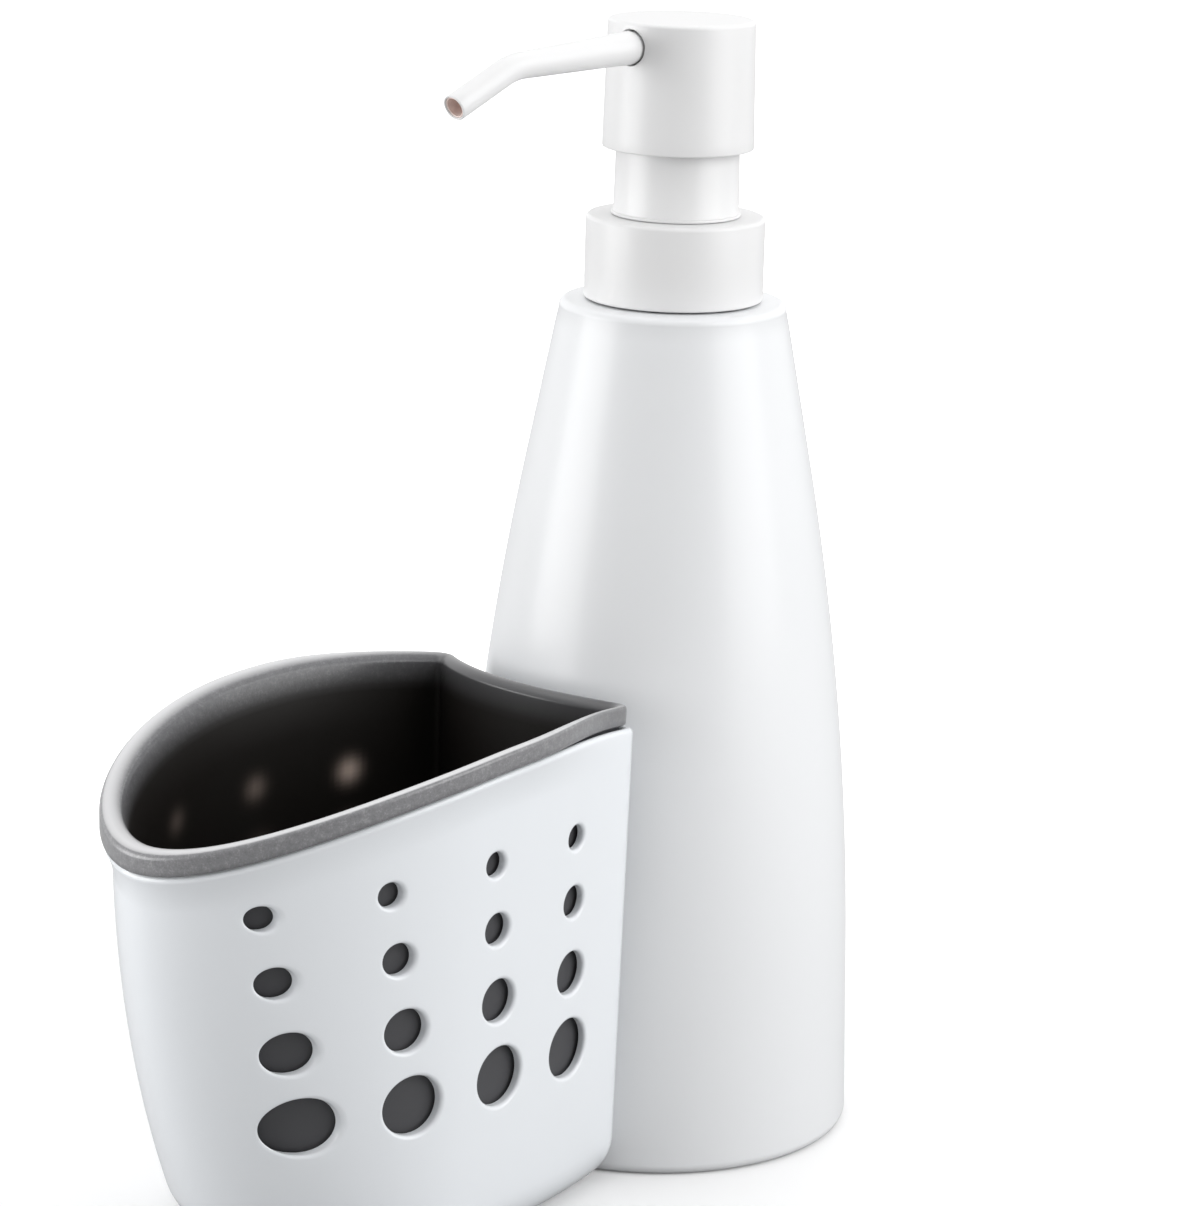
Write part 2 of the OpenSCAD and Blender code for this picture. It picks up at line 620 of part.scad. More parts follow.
// Round shell of the head, open below, with the spout's hole in its side
module head_shell() {
    hole_r = spout_root_r + loose_play * 2;
    profile = concat([[0, head_top_z - head_wall], [head_top_r - head_wall, head_top_z - head_wall],
        [head_foot_r - head_wall, head_z], [head_foot_r, head_z]],
        arc_pts(head_top_r - head_round, head_top_z - head_round, head_round, 0, 90, 4),
        [[0, head_top_z]]);
    color([0.9, 0.9, 0.9]) difference() {
        rotate_extrude() polygon(profile);
        translate([0, 0, spout_z]) rotate([0, -90 - spout_fall, 0]) translate([0, 0, head_top_r - 2 * head_wall])
            cylinder(r = hole_r, h = 2 * head_wall + overrun);
    }
}

// Core of the head: socket for the stem, channel and socket for the spout
module head_core() {
    socket_r = stem_r + running_play;
    boss_x = head_top_r - head_wall * 3;
    disc_r = head_top_r - head_wall - loose_play;
    disc_t = head_wall;
    core_top_z = head_top_z - head_wall;
    color([0.87, 0.87, 0.87]) difference() {
        union() {
            translate([0, 0, core_z]) cylinder(r = core_r, h = core_top_z - core_z);
            translate([0, 0, core_top_z - disc_t]) cylinder(r = disc_r, h = disc_t);
            intersection() {
                translate([0, 0, spout_z]) rotate([0, -90 - spout_fall, 0])
                    cylinder(r = spout_root_r + head_wall, h = boss_x);
                translate([0, 0, core_z]) cylinder(r = head_top_r, h = core_top_z - core_z);
            }
        }
        translate([0, 0, core_z - overrun]) cylinder(r = socket_r, h = stem_top_z + loose_play - core_z + overrun);
        translate([0, 0, core_z]) cylinder(r = stem_bore_r, h = spout_z - core_z);
        translate([0, 0, spout_z]) rotate([0, -90 - spout_fall, 0]) {
            cylinder(r = stem_bore_r, h = boss_x);
            translate([0, 0, core_r]) cylinder(r = spout_root_r, h = boss_x);
        }
    }
}

// Bent spout: a tapering run, a short bend and a straight tail, which lap a little at the bend
module spout() {
    run = spout_reach / cos(spout_fall);
    lap = 2 * loose_play;
    color([0.91, 0.91, 0.91]) translate([0, 0, spout_z]) rotate([0, -90 - spout_fall, 0]) difference() {
        union() {
            translate([0, 0, core_r]) cylinder(r = spout_root_r, h = head_top_r - core_r);
            translate([0, 0, head_top_r])
                cylinder(r1 = spout_root_r, r2 = spout_tip_r, h = run + lap - head_top_r);
            translate([0, 0, run]) spout_bend(spout_tip_r + running_play);
            translate([0, 0, run]) spout_place() translate([0, 0, -lap])
                cylinder(r = spout_tip_r, h = spout_tail + lap);
        }
        translate([0, 0, core_r - overrun]) cylinder(r = spout_bore_r, h = run + lap - core_r + overrun);
        translate([0, 0, run]) spout_bend(spout_bore_r + running_play);
        translate([0, 0, run]) spout_place() translate([0, 0, -lap])
            cylinder(r = spout_bore_r, h = spout_tail + lap + overrun);
    }
}
// The tube of the bend
module spout_bend(r) {
    translate([-spout_bend_r, 0, 0]) rotate([90, 0, 0]) rotate_extrude(angle = spout_turn)
        translate([spout_bend_r, 0]) circle(r = r);
}
// The place and direction in which the bend ends
module spout_place() {
    translate([-spout_bend_r, 0, 0]) rotate([0, -spout_turn, 0]) translate([spout_bend_r, 0, 0]) children();
}

// Place along the wall after a number of hole pitches from the first column
function walk(s, z, left, step) = left <= 0 ? s : let (
        slope = (side_at(s + step, half_w(z), nose_at(z)) - side_at(s, half_w(z), nose_at(z))) / step)
    walk(s + step / sqrt(1 + pow(slope, 2)), z, left - 1, step);

// Round holes in four columns on each long wall, drilled straight across the caddy
module wall_holes() {
    steps = 8;
    crest = nest_r + row_crest;
    for (row = [0 : len(row_z) - 1]) for (column = [0 : len(row_z) - 1]) {
        s = walk(nest_r + column_start, row_z[row], column * steps, hole_pitch[row] / steps);
        z = row_z[row] - row_arch_r + sqrt(pow(row_arch_r, 2) - pow(s - crest, 2));
        translate([-s, 0, z]) rotate([90, 0, 0]) cylinder(d = hole_d[row], h = caddy_w + 2 * overrun, center = true);
    }
}

// Glossy outer shell of the caddy, with the hooks that hang on the bottle's keeper
module caddy_shell() {
    edge = shell_wall / 2;
    floor_z = shell_wall;
    inner_round = bottom_round - shell_wall;
    top = -lip_drop;
    outside = concat(
        [for (b = [90, 65, 40, 20, 0]) let (off = -bottom_round * (1 - cos(b)))
            wall_ring(off, off, bottom_round * (1 - sin(b)), 0)],
        [for (share = [0.3, 0.5, 0.7]) wall_ring(0, 0, 0, share)],
        [wall_ring(0, 0, top - lip_h, 1, 1), wall_ring(lip_flare * 0.2, 0, top - lip_h * 0.6, 1, 1),
            wall_ring(lip_flare * 0.6, 0, top - lip_h * 0.25, 1, 1), wall_ring(lip_flare, 0, top - edge / 2, 1, 1),
            wall_ring(lip_flare - edge / 2, -edge / 2, top, 1, 1)]);
    inside = concat(
        [wall_ring(lip_flare - shell_wall + edge / 2, edge / 2 - shell_wall, top, 1, 1),
            wall_ring(lip_flare - shell_wall, -shell_wall, top - edge / 2, 1, 1),
            wall_ring(lip_flare * 0.4 - shell_wall, -shell_wall, top - lip_h * 0.4, 1, 1),
            wall_ring(-shell_wall, -shell_wall, top - lip_h, 1, 1)],
        [for (share = [0.6, 0.35]) wall_ring(-shell_wall, -shell_wall, 0, share)],
        [for (b = [0, 30, 60, 90]) let (off = -shell_wall - inner_round * (1 - cos(b)))
            wall_ring(off, off, floor_z + inner_round * (1 - sin(b)), 0)]);
    color([0.93, 0.94, 0.96]) difference() {
        union() {
            skin(concat(outside, inside));
            for (side = [0, 1]) mirror([0, side, 0]) hook();
        }
        wall_holes();
    }
}
// One hook: a cheek that stands on the nest's wall and a finger behind the keeper's head
module hook() {
    cheek_y = keeper_w / 2 + keeper_play;
    finger_y = keeper_web_w / 2 + keeper_play;
    wall_x = sqrt(pow(nest_r, 2) - pow(cheek_y, 2)) + shell_wall / 2;
    hook_z = keeper_z - loose_play;
    translate([-wall_x, cheek_y, hook_z]) cube([wall_x - hook_in, hook_t, keeper_h]);
    translate([-hook_in - hook_t, finger_y, hook_z]) cube([hook_t, cheek_y + hook_t - finger_y, keeper_h]);
}

// Grey liner: a deep cup whose rim slopes inwards and hangs over the shell's lip
module liner() {
    floor_z = shell_wall + foot_gap;
    outer_round = bottom_round - shell_wall - liner_gap;
    inner_round = outer_round - liner_wall;
    slope_end = -lip_drop - lip_h * 1.2;
    top_r = (rim_w - rim_edge) / sin(rim_tilt);
    top_drop = top_r * (1 - cos(rim_tilt));
    steep = 80;
    inner_in = rim_w + rim_round * (sin(steep) - sin(rim_tilt));
    inner_drop = top_drop + rim_round * (cos(rim_tilt) - cos(steep));
    nest_share = (-liner_in_off - rim_in) / inner_in;
    // A ring of the rim, in from its outer face and below its top
    function rim_ring(in, drop, fall = 0) = wall_ring(rim_over - in, -rim_in - in * nest_share, -drop, 1, fall);
    function slope_ring(in_share, down_share) = let (off = rim_over - inner_in)
        wall_ring(off + (liner_in_off - off) * in_share, liner_in_off,
            -inner_drop + (slope_end + inner_drop) * down_share, 1);
    outside = concat(
        [for (b = [90, 60, 30, 0]) let (off = liner_off - outer_round * (1 - cos(b)))
            wall_ring(off, off, floor_z + outer_round * (1 - sin(b)), 0)],
        [for (share = [0.35, 0.6]) wall_ring(liner_off, liner_off, 0, share)],
        [wall_ring(liner_off, liner_off, -lip_drop - lip_h, 1, 1),
            wall_ring(liner_off + lip_flare * 0.4, liner_off, -lip_drop - lip_h * 0.4, 1, 1),
            wall_ring(liner_off + lip_flare, liner_off, band_gap - band_h, 1, 1),
            rim_ring(band_t, band_h - band_gap, 1), rim_ring(band_t, band_h, 1)],
        [for (a = [90, 45, 0]) rim_ring(band_round * (1 - cos(a)), band_h - band_round * (1 - sin(a)), 1)],
        [for (a = [0, 45, 90]) rim_ring(rim_edge * (1 - cos(a)), rim_edge * (1 - sin(a)))]);
    inside = concat(
        [for (share = [0.25, 0.5, 0.75, 1]) rim_ring(rim_edge + top_r * sin(rim_tilt * share),
            top_r * (1 - cos(rim_tilt * share)))],
        [rim_ring(inner_in, inner_drop)],
        [for (p = [[0.2, 0.08], [0.4, 0.2], [0.6, 0.36], [0.8, 0.58], [1, 1]]) slope_ring(p[0], p[1])],
        [for (share = [0.6, 0.35]) wall_ring(liner_in_off, liner_in_off, 0, share)],
        [for (b = [0, 30, 60, 90]) let (off = liner_in_off - inner_round * (1 - cos(b)))
            wall_ring(off, off, floor_z + liner_wall + inner_round * (1 - sin(b)), 0)]);
    color([0.5, 0.5, 0.52]) skin(concat(outside, inside));
}

bottle();
collar_shell();
closure();
neck_gasket();
chaplet();
stem_seal();
housing();
ball_cage();
inlet_ball();
return_spring();
spring_cap();
valve_plug();
piston();
stem();
dip_tube();
head_shell();
head_core();
spout();
caddy_shell();
liner();
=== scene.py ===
from math import asin, atan2, copysign, cos, degrees, exp, pi, radians, sin, sqrt, tan

import bmesh
import bpy
from mathutils import Matrix, Vector


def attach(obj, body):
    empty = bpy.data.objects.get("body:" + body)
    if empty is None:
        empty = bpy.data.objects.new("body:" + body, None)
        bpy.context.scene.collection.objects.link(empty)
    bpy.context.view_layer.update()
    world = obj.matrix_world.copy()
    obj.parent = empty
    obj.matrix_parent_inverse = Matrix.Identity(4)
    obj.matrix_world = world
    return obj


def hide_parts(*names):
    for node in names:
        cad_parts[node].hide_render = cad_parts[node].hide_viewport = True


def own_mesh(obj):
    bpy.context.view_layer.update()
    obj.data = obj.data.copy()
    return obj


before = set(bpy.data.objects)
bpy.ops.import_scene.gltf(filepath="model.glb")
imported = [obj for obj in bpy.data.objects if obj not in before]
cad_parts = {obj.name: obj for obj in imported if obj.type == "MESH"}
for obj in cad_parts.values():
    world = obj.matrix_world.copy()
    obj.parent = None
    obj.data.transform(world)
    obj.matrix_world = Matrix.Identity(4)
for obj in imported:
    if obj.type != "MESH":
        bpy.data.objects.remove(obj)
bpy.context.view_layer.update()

# The bottle.
# It is blown from gloss white plastic in one piece: a foot with straight sides, one long taper, a flat
# shoulder and a threaded neck. One Geometry Nodes tree turns its round surfaces about the upright axis.
MM = 0.001
FOOT_R = 43.9
FOOT_LEAN = radians(1.9)
BEND_START_Z, BEND_END_Z = 40.0, 145.0
SHOULDER_Z, SHOULDER_R = 181.3, 23.9
BOTTLE_WALL = 2.0
NECK_R, MOUTH_R, NECK_TOP_Z = 12.4, 10.9, 193.6
FOOT_ROUND, SHOULDER_ROUND, NECK_FILLET, EDGE_ROUND = 2.2, 1.6, 0.5, 0.3
INNER_FOOT_ROUND, INNER_SHOULDER_ROUND, INNER_MOUTH_ROUND = 2.4, 1.2, 0.8
RECESS_OUT, RECESS_IN, RECESS_H = 37.3, 12.4, 0.6
BOX_SLACK = 0.01


def new_group(name, kind, sizes, results):
    """An empty node group with named inputs and outputs."""
    group = bpy.data.node_groups.new(name, kind)
    for label, socket, value in sizes:
        made = group.interface.new_socket(label, in_out="INPUT", socket_type=socket)
        if value is not None:
            made.default_value = value
    for label, socket in results:
        group.interface.new_socket(label, in_out="OUTPUT", socket_type=socket)
    return group, group.nodes.new("NodeGroupInput").outputs, group.nodes.new("NodeGroupOutput")


def wire(tree, node, feeds):
    """Feeds a node's inputs with sockets or plain values."""
    for key, value in feeds.items():
        if isinstance(value, bpy.types.NodeSocket):
            tree.links.new(value, node.inputs[key])
        else:
            node.inputs[key].default_value = value


def put(tree, kind, feeds=None, **settings):
    """A node with its settings and what feeds its inputs."""
    node = tree.nodes.new(kind)
    for key, value in settings.items():
        setattr(node, key, value)
    wire(tree, node, feeds or {})
    return node


def calc(tree, operation, *feeds):
    """The result of one sum on numbers."""
    return put(tree, "ShaderNodeMath", dict(enumerate(feeds)), operation=operation).outputs[0]


def vec(tree, operation, *feeds, scale=None):
    """The result of one sum on vectors."""
    wanted = dict(enumerate(feeds))
    if scale is not None:
        wanted["Scale"] = scale
    node = put(tree, "ShaderNodeVectorMath", wanted, operation=operation)
    return node.outputs["Value" if operation in ("DOT_PRODUCT", "LENGTH") else "Vector"]


def sampled(tree, kind, geometry, value, index):
    """A value of one numbered point of a geometry."""
    feeds = {"Geometry": geometry, "Value": value, "Index": index}
    return put(tree, "GeometryNodeSampleIndex", feeds, data_type=kind, domain="POINT").outputs["Value"]


def named(tree, kind, name):
    """A named attribute of the geometry."""
    return put(tree, "GeometryNodeInputNamedAttribute", {"Name": name}, data_type=kind).outputs["Attribute"]


def ring_grid(tree, chain, sides):
    """A grid with a column of a chain's points for each side: its mesh, place in the chain and column."""
    size = put(tree, "GeometryNodeAttributeDomainSize", {"Geometry": chain}, component="MESH")
    count = size.outputs["Point Count"]
    columns = calc(tree, "ADD", sides, 1.0)
    grid = put(tree, "GeometryNodeMeshGrid", {"Vertices X": columns, "Vertices Y": count})
    index = put(tree, "GeometryNodeInputIndex").outputs[0]
    column = calc(tree, "FLOOR", calc(tree, "DIVIDE", calc(tree, "ADD", index, 0.5), count))
    return grid.outputs["Mesh"], calc(tree, "MODULO", index, count), column


def finish_tree(tree, out, geometry, material):
    """Welds the seams, shades smooth, realizes instances and sets the material."""
    welded = put(tree, "GeometryNodeMergeByDistance", {"Geometry": geometry, "Distance": 2e-6})
    smooth = put(tree, "GeometryNodeSetShadeSmooth", {0: welded.outputs[0]})
    real = put(tree, "GeometryNodeRealizeInstances", {"Geometry": smooth.outputs[0]})
    done = put(tree, "GeometryNodeSetMaterial", {"Geometry": real.outputs[0], "Material": material})
    tree.links.new(done.outputs[0], out.inputs[0])


def drawn_tree():
    """Round rings about a chain of stations, each with its radius and the way it faces."""
    tree, sizes, out = new_group("rings along stations", "GeometryNodeTree", [
        ("Stations", "NodeSocketGeometry", None), ("Sides", "NodeSocketInt", 160),
        ("Material", "NodeSocketMaterial", None)], [("Geometry", "NodeSocketGeometry")])
    chain = sizes["Stations"]
    grid, station, column = ring_grid(tree, chain, sizes["Sides"])
    turn = calc(tree, "MULTIPLY", column, calc(tree, "DIVIDE", 2 * pi, sizes["Sides"]))
    centre = sampled(tree, "FLOAT_VECTOR", chain, put(tree, "GeometryNodeInputPosition").outputs[0], station)
    aim = sampled(tree, "FLOAT_VECTOR", chain, named(tree, "FLOAT_VECTOR", "aim"), station)
    radius = sampled(tree, "FLOAT", chain, named(tree, "FLOAT", "radius"), station)
    across = vec(tree, "CROSS_PRODUCT", aim, (0.0, 1.0, 0.0))
    side = put(tree, "ShaderNodeCombineXYZ", {"Y": calc(tree, "COSINE", turn)}).outputs[0]
    up = vec(tree, "SCALE", across, scale=calc(tree, "SINE", turn))
    reach = vec(tree, "SCALE", vec(tree, "ADD", side, up), scale=radius)
    place = vec(tree, "ADD", centre, reach)
    shaped = put(tree, "GeometryNodeSetPosition", {"Geometry": grid, "Position": place})
    finish_tree(tree, out, shaped.outputs[0], sizes["Material"])
    return tree


def new_piece(name, points, faces=(), chained=False, numbers=None, directions=None):
    """A mesh object in the part's frame, from points in millimetres, with its named attributes."""
    mesh = bpy.data.meshes.new(name)
    edges = [(i, i + 1) for i in range(len(points) - 1)] if chained else []
    mesh.from_pydata([tuple(c * MM for c in p) for p in points], edges, faces)
    for label, values in (numbers or {}).items():
        mesh.attributes.new(label, "FLOAT", "POINT").data.foreach_set("value", values)
    for label, values in (directions or {}).items():
        flat = [c for v in values for c in v]
        mesh.attributes.new(label, "FLOAT_VECTOR", "POINT").data.foreach_set("vector", flat)
    piece = bpy.data.objects.new(name, mesh)
    bpy.context.scene.collection.objects.link(piece)
    return piece


def grow(piece, tree, sizes):
    """Runs a tree on the piece and keeps its result as a plain mesh."""
    modifier = piece.modifiers.new(tree.name, "NODES")
    modifier.node_group = tree
    for item in tree.interface.items_tree:
        if item.item_type == "SOCKET" and item.in_out == "INPUT" and item.name in sizes:
            modifier[item.identifier] = sizes[item.name]
    graph = bpy.context.evaluated_depsgraph_get()
    done = piece.evaluated_get(graph)
    mesh = bpy.data.meshes.new_from_object(done, preserve_all_data_layers=True, depsgraph=graph)
    piece.modifiers.remove(modifier)
    seed = piece.data
    piece.data = mesh
    bpy.data.meshes.remove(seed)


def tidy_mesh(piece, crease=40.0):
    """Welds doubles, turns all faces outwards and keeps only real creases sharp."""
    work = bmesh.new()
    work.from_mesh(piece.data)
    bmesh.ops.remove_doubles(work, verts=work.verts, dist=1e-6)
    bmesh.ops.dissolve_degenerate(work, edges=work.edges, dist=1e-7)
    bmesh.ops.recalc_face_normals(work, faces=work.faces)
    work.to_mesh(piece.data)
    work.free()
    piece.data.shade_smooth()
    piece.data.set_sharp_from_angle(angle=radians(crease))


drawn = drawn_tree()


def ringed(name, spots, aims, radii, material, sides):
    """A piece of round rings, each at a spot, facing along an aim and with its own radius."""
    piece = new_piece(name, spots, chained=True, numbers={"radius": [r * MM for r in radii]},
                      directions={"aim": aims})
    grow(piece, drawn, {"Sides": sides, "Material": material})
    tidy_mesh(piece)
    return piece


def turned(name, profile, material, sides=160):
    """A piece turned about the upright axis from (radius, height) points."""
    spots = [(0, 0, z) for r, z in profile]
    return ringed(name, spots, [(0, 0, 1)] * len(spots), [r for r, z in profile], material, sides)


def corner(r, z, radius, start, stop, steps):
    """Points of the rounding at a corner of a profile, with its angles in degrees."""
    middle = radians(start + stop) / 2
    centre_r = r - copysign(radius, cos(middle))
    centre_z = z - copysign(radius, sin(middle))
    turns = [radians(start + (stop - start) * i / steps) for i in range(steps + 1)]
    return [(centre_r + radius * cos(a), centre_z + radius * sin(a)) for a in turns]


def noise(tree, place, scale, detail, **more):
    """The value of a noise texture."""
    feeds = {"Vector": place, "Scale": scale, "Detail": detail, **more}
    return put(tree, "ShaderNodeTexNoise", feeds).outputs["Fac"]


def mixed(tree, share, first, second):
    """A colour between two others."""
    return put(tree, "ShaderNodeMix", {0: share, 6: first, 7: second}, data_type="RGBA").outputs[2]


def skin_group():
    """Slow drift of tone, fine mould texture and uneven gloss, as on any moulded plastic."""
    group, sizes, out = new_group("moulded skin", "ShaderNodeTree", [
        ("Color", "NodeSocketColor", (0.8, 0.8, 0.8, 1)), ("Shade", "NodeSocketColor", (0.7, 0.7, 0.7, 1)),
        ("Drift scale", "NodeSocketFloat", 14.0), ("Grain scale", "NodeSocketFloat", 900.0),
        ("Roughness", "NodeSocketFloat", 0.2), ("Unevenness", "NodeSocketFloat", 0.1)],
        [("Color", "NodeSocketColor"), ("Roughness", "NodeSocketFloat"), ("Height", "NodeSocketFloat")])
    place = put(group, "ShaderNodeTexCoord").outputs["Object"]
    drift = noise(group, place, sizes["Drift scale"], 2.0)
    wipe = noise(group, place, 60.0, 4.0, Distortion=0.6)
    swing = calc(group, "MULTIPLY", calc(group, "SUBTRACT", wipe, 0.5), sizes["Unevenness"])
    wire(group, out, {"Color": mixed(group, drift, sizes["Color"], sizes["Shade"]),
                      "Roughness": calc(group, "ADD", sizes["Roughness"], swing),
                      "Height": noise(group, place, sizes["Grain scale"], 3.0)})
    return group


skin = skin_group()


def new_material(name, fixed):
    """A material, its node tree and its shader, with some of the shader's own sockets set."""
    material = bpy.data.materials.new(name)
    material.use_nodes = True
    shader = material.node_tree.nodes["Principled BSDF"]
    wire(material.node_tree, shader, fixed)
    return material, material.node_tree, shader


def plastic(name, colour, shade, roughness, unevenness=0.08, grain=900.0, dimple=0.05, fixed=None):
    """A moulded plastic, with what is the same all over set on the shader's own sockets."""
    material, tree, shader = new_material(name, fixed or {})
    look = put(tree, "ShaderNodeGroup", {
        "Color": (*colour, 1), "Shade": (*shade, 1), "Grain scale": grain, "Roughness": roughness,
        "Unevenness": unevenness}, node_tree=skin).outputs
    bump = put(tree, "ShaderNodeBump", {"Height": look["Height"], "Strength": dimple, "Distance": 0.00004})
    wire(tree, shader, {"Base Color": look["Color"], "Roughness": look["Roughness"],
                        "Normal": bump.outputs["Normal"]})
    return material


bottle_white = plastic("bottle gloss white", (0.81, 0.82, 0.833), (0.785, 0.796, 0.809), 0.34,
                       fixed={"Coat Weight": 0.12, "Coat Roughness": 0.18, "IOR": 1.49})
bend_start_r = FOOT_R - BEND_START_Z * tan(FOOT_LEAN)


def cone_top_r(lean):
    """Radius at the shoulder of a taper that ends with this lean."""
    bend = (BEND_END_Z - BEND_START_Z) / (sin(lean) - sin(FOOT_LEAN))
    bend_end_r = bend_start_r - bend * (cos(FOOT_LEAN) - cos(lean))
    return bend_end_r - (SHOULDER_Z - BEND_END_Z) * tan(lean)


low, high = FOOT_LEAN * 1.2, radians(30)
for halving in range(40):
    middle = (low + high) / 2
    if cone_top_r(middle) > SHOULDER_R:
        low = middle
    else:
        high = middle
top_lean = (low + high) / 2


def bottle_r(z):
    """Radius of the bottle's flank at a height."""
    if z <= BEND_START_Z:
        return FOOT_R - z * tan(FOOT_LEAN)
    bend = (BEND_END_Z - BEND_START_Z) / (sin(top_lean) - sin(FOOT_LEAN))
    angle = asin(sin(FOOT_LEAN) + (min(z, BEND_END_Z) - BEND_START_Z) / bend)
    bent_r = bend_start_r - bend * (cos(FOOT_LEAN) - cos(angle))
    return bent_r - max(0, z - BEND_END_Z) * tan(top_lean)


shoulder_start = SHOULDER_Z - SHOULDER_ROUND
foot_edge = FOOT_R - FOOT_ROUND * tan(FOOT_LEAN) - BOX_SLACK
outer_heights = [2.3 + i * 2.2 for i in range(80)]
inner_heights = [174 - i * 6 for i in range(29)]
inner_shoulder_r = bottle_r(SHOULDER_Z - 4) - BOTTLE_WALL
bottle_profile = (
    [(0, 0), (RECESS_IN - 0.4, 0), (RECESS_IN, 0.3), (RECESS_IN + 0.4, RECESS_H)]
    + [(RECESS_OUT - 0.6, RECESS_H), (RECESS_OUT - 0.2, 0.4), (RECESS_OUT, 0)]
    + corner(foot_edge, 0, FOOT_ROUND, -90, 0, 10)
    + [(bottle_r(z) - BOX_SLACK, z) for z in outer_heights if z < shoulder_start - 0.8]
    + corner(bottle_r(shoulder_start), SHOULDER_Z, SHOULDER_ROUND, -degrees(top_lean), 90, 10)
    + corner(NECK_R, SHOULDER_Z, NECK_FILLET, 270, 180, 4)
    + corner(NECK_R, NECK_TOP_Z, EDGE_ROUND, 0, 90, 3)
    + corner(MOUTH_R, NECK_TOP_Z, EDGE_ROUND, 90, 180, 3)
    + corner(MOUTH_R, SHOULDER_Z - BOTTLE_WALL, INNER_MOUTH_ROUND, 180, 270, 4)
    + corner(inner_shoulder_r, SHOULDER_Z - BOTTLE_WALL, INNER_SHOULDER_ROUND, 90, 0, 5)
    + [(bottle_r(z) - BOTTLE_WALL, z) for z in inner_heights]
    + corner(FOOT_R - BOTTLE_WALL, BOTTLE_WALL, INNER_FOOT_ROUND, 0, -90, 5)
    + [(0, BOTTLE_WALL)])
bottle_body = turned("bottle_body", bottle_profile, bottle_white, 192)
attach(bottle_body, "bottle")
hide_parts("bottle")

# The thread on the bottle's neck.
# One bead that climbs the neck to the right and runs out at both ends. The collar's own thread turns on it.
THREAD_PITCH, THREAD_TURNS = 4.2, 1.75
THREAD_H, THREAD_ROOT_W, THREAD_CREST_W, THREAD_SINK = 1.2, 2.0, 0.9, 0.25


def bead_tree():
    """A bead that winds up a neck."""
    tree, sizes, out = new_group("winding bead", "GeometryNodeTree", [
        ("Section", "NodeSocketGeometry", None), ("Steps", "NodeSocketInt", 84),
        ("Turns", "NodeSocketFloat", 1.75), ("Pitch", "NodeSocketFloat", 0.004),
        ("Start height", "NodeSocketFloat", 0.18), ("Root radius", "NodeSocketFloat", 0.012),
        ("Run-out share", "NodeSocketFloat", 0.08), ("Material", "NodeSocketMaterial", None)],
        [("Geometry", "NodeSocketGeometry")])
    section = sizes["Section"]
    grid, level, column = ring_grid(tree, section, sizes["Steps"])
    along = calc(tree, "DIVIDE", column, sizes["Steps"])
    place = sampled(tree, "FLOAT_VECTOR", section, put(tree, "GeometryNodeInputPosition").outputs[0], level)
    split = put(tree, "ShaderNodeSeparateXYZ", {0: place}).outputs
    from_end = calc(tree, "MINIMUM", along, calc(tree, "SUBTRACT", 1.0, along))
    grown = calc(tree, "MINIMUM", 1.0, calc(tree, "DIVIDE", from_end, sizes["Run-out share"]))
    radius = calc(tree, "ADD", sizes["Root radius"], calc(tree, "MULTIPLY", split["X"], grown))
    turns = calc(tree, "MULTIPLY", along, sizes["Turns"])
    angle = calc(tree, "MULTIPLY", turns, 2 * pi)
    rise = calc(tree, "MULTIPLY", turns, sizes["Pitch"])
    spot = put(tree, "ShaderNodeCombineXYZ", {
        "X": calc(tree, "MULTIPLY", radius, calc(tree, "COSINE", angle)),
        "Y": calc(tree, "MULTIPLY", radius, calc(tree, "SINE", angle)),
        "Z": calc(tree, "ADD", calc(tree, "ADD", sizes["Start height"], rise), split["Z"])})
    shaped = put(tree, "GeometryNodeSetPosition", {"Geometry": grid, "Position": spot.outputs[0]})
    finish_tree(tree, out, shaped.outputs[0], sizes["Material"])
    return tree


half_root, half_crest = THREAD_ROOT_W / 2, THREAD_CREST_W / 2
bead_side = [(-THREAD_SINK, half_root), (0, half_root), (THREAD_H * 0.8, half_crest + 0.1),
             (THREAD_H, half_crest - 0.15)]
bead_section = [(x, 0, -z) for x, z in bead_side] + [(x, 0, z) for x, z in reversed(bead_side)]
bottle_thread = new_piece("bottle_thread", bead_section + bead_section[:1], chained=True)
grow(bottle_thread, bead_tree(), {
    "Steps": 120, "Turns": THREAD_TURNS, "Pitch": THREAD_PITCH * MM, "Root radius": NECK_R * MM,
    "Start height": (NECK_TOP_Z - THREAD_ROOT_W - THREAD_TURNS * THREAD_PITCH) * MM,
    "Material": bottle_white})
work = bmesh.new()
work.from_mesh(bottle_thread.data)
bmesh.ops.remove_doubles(work, verts=work.verts, dist=1e-6)
bmesh.ops.holes_fill(work, edges=[e for e in work.edges if e.is_boundary], sides=0)
work.to_mesh(bottle_thread.data)
work.free()
tidy_mesh(bottle_thread, 60)
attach(bottle_thread, "bottle")

# The keeper on the bottle's flank.
# A moulded T that the caddy's two hooks slide over. It is hidden between the bottle and the caddy.
KEEPER_Z, KEEPER_H, KEEPER_W, KEEPER_WEB_W, KEEPER_T = 70.0, 14.0, 12.0, 6.0, 1.1
HOOK_T, KEEPER_PLAY = 1.0, 0.35
hook_in = bottle_r(KEEPER_Z) + KEEPER_PLAY
keeper_out = hook_in + HOOK_T + KEEPER_PLAY + KEEPER_T


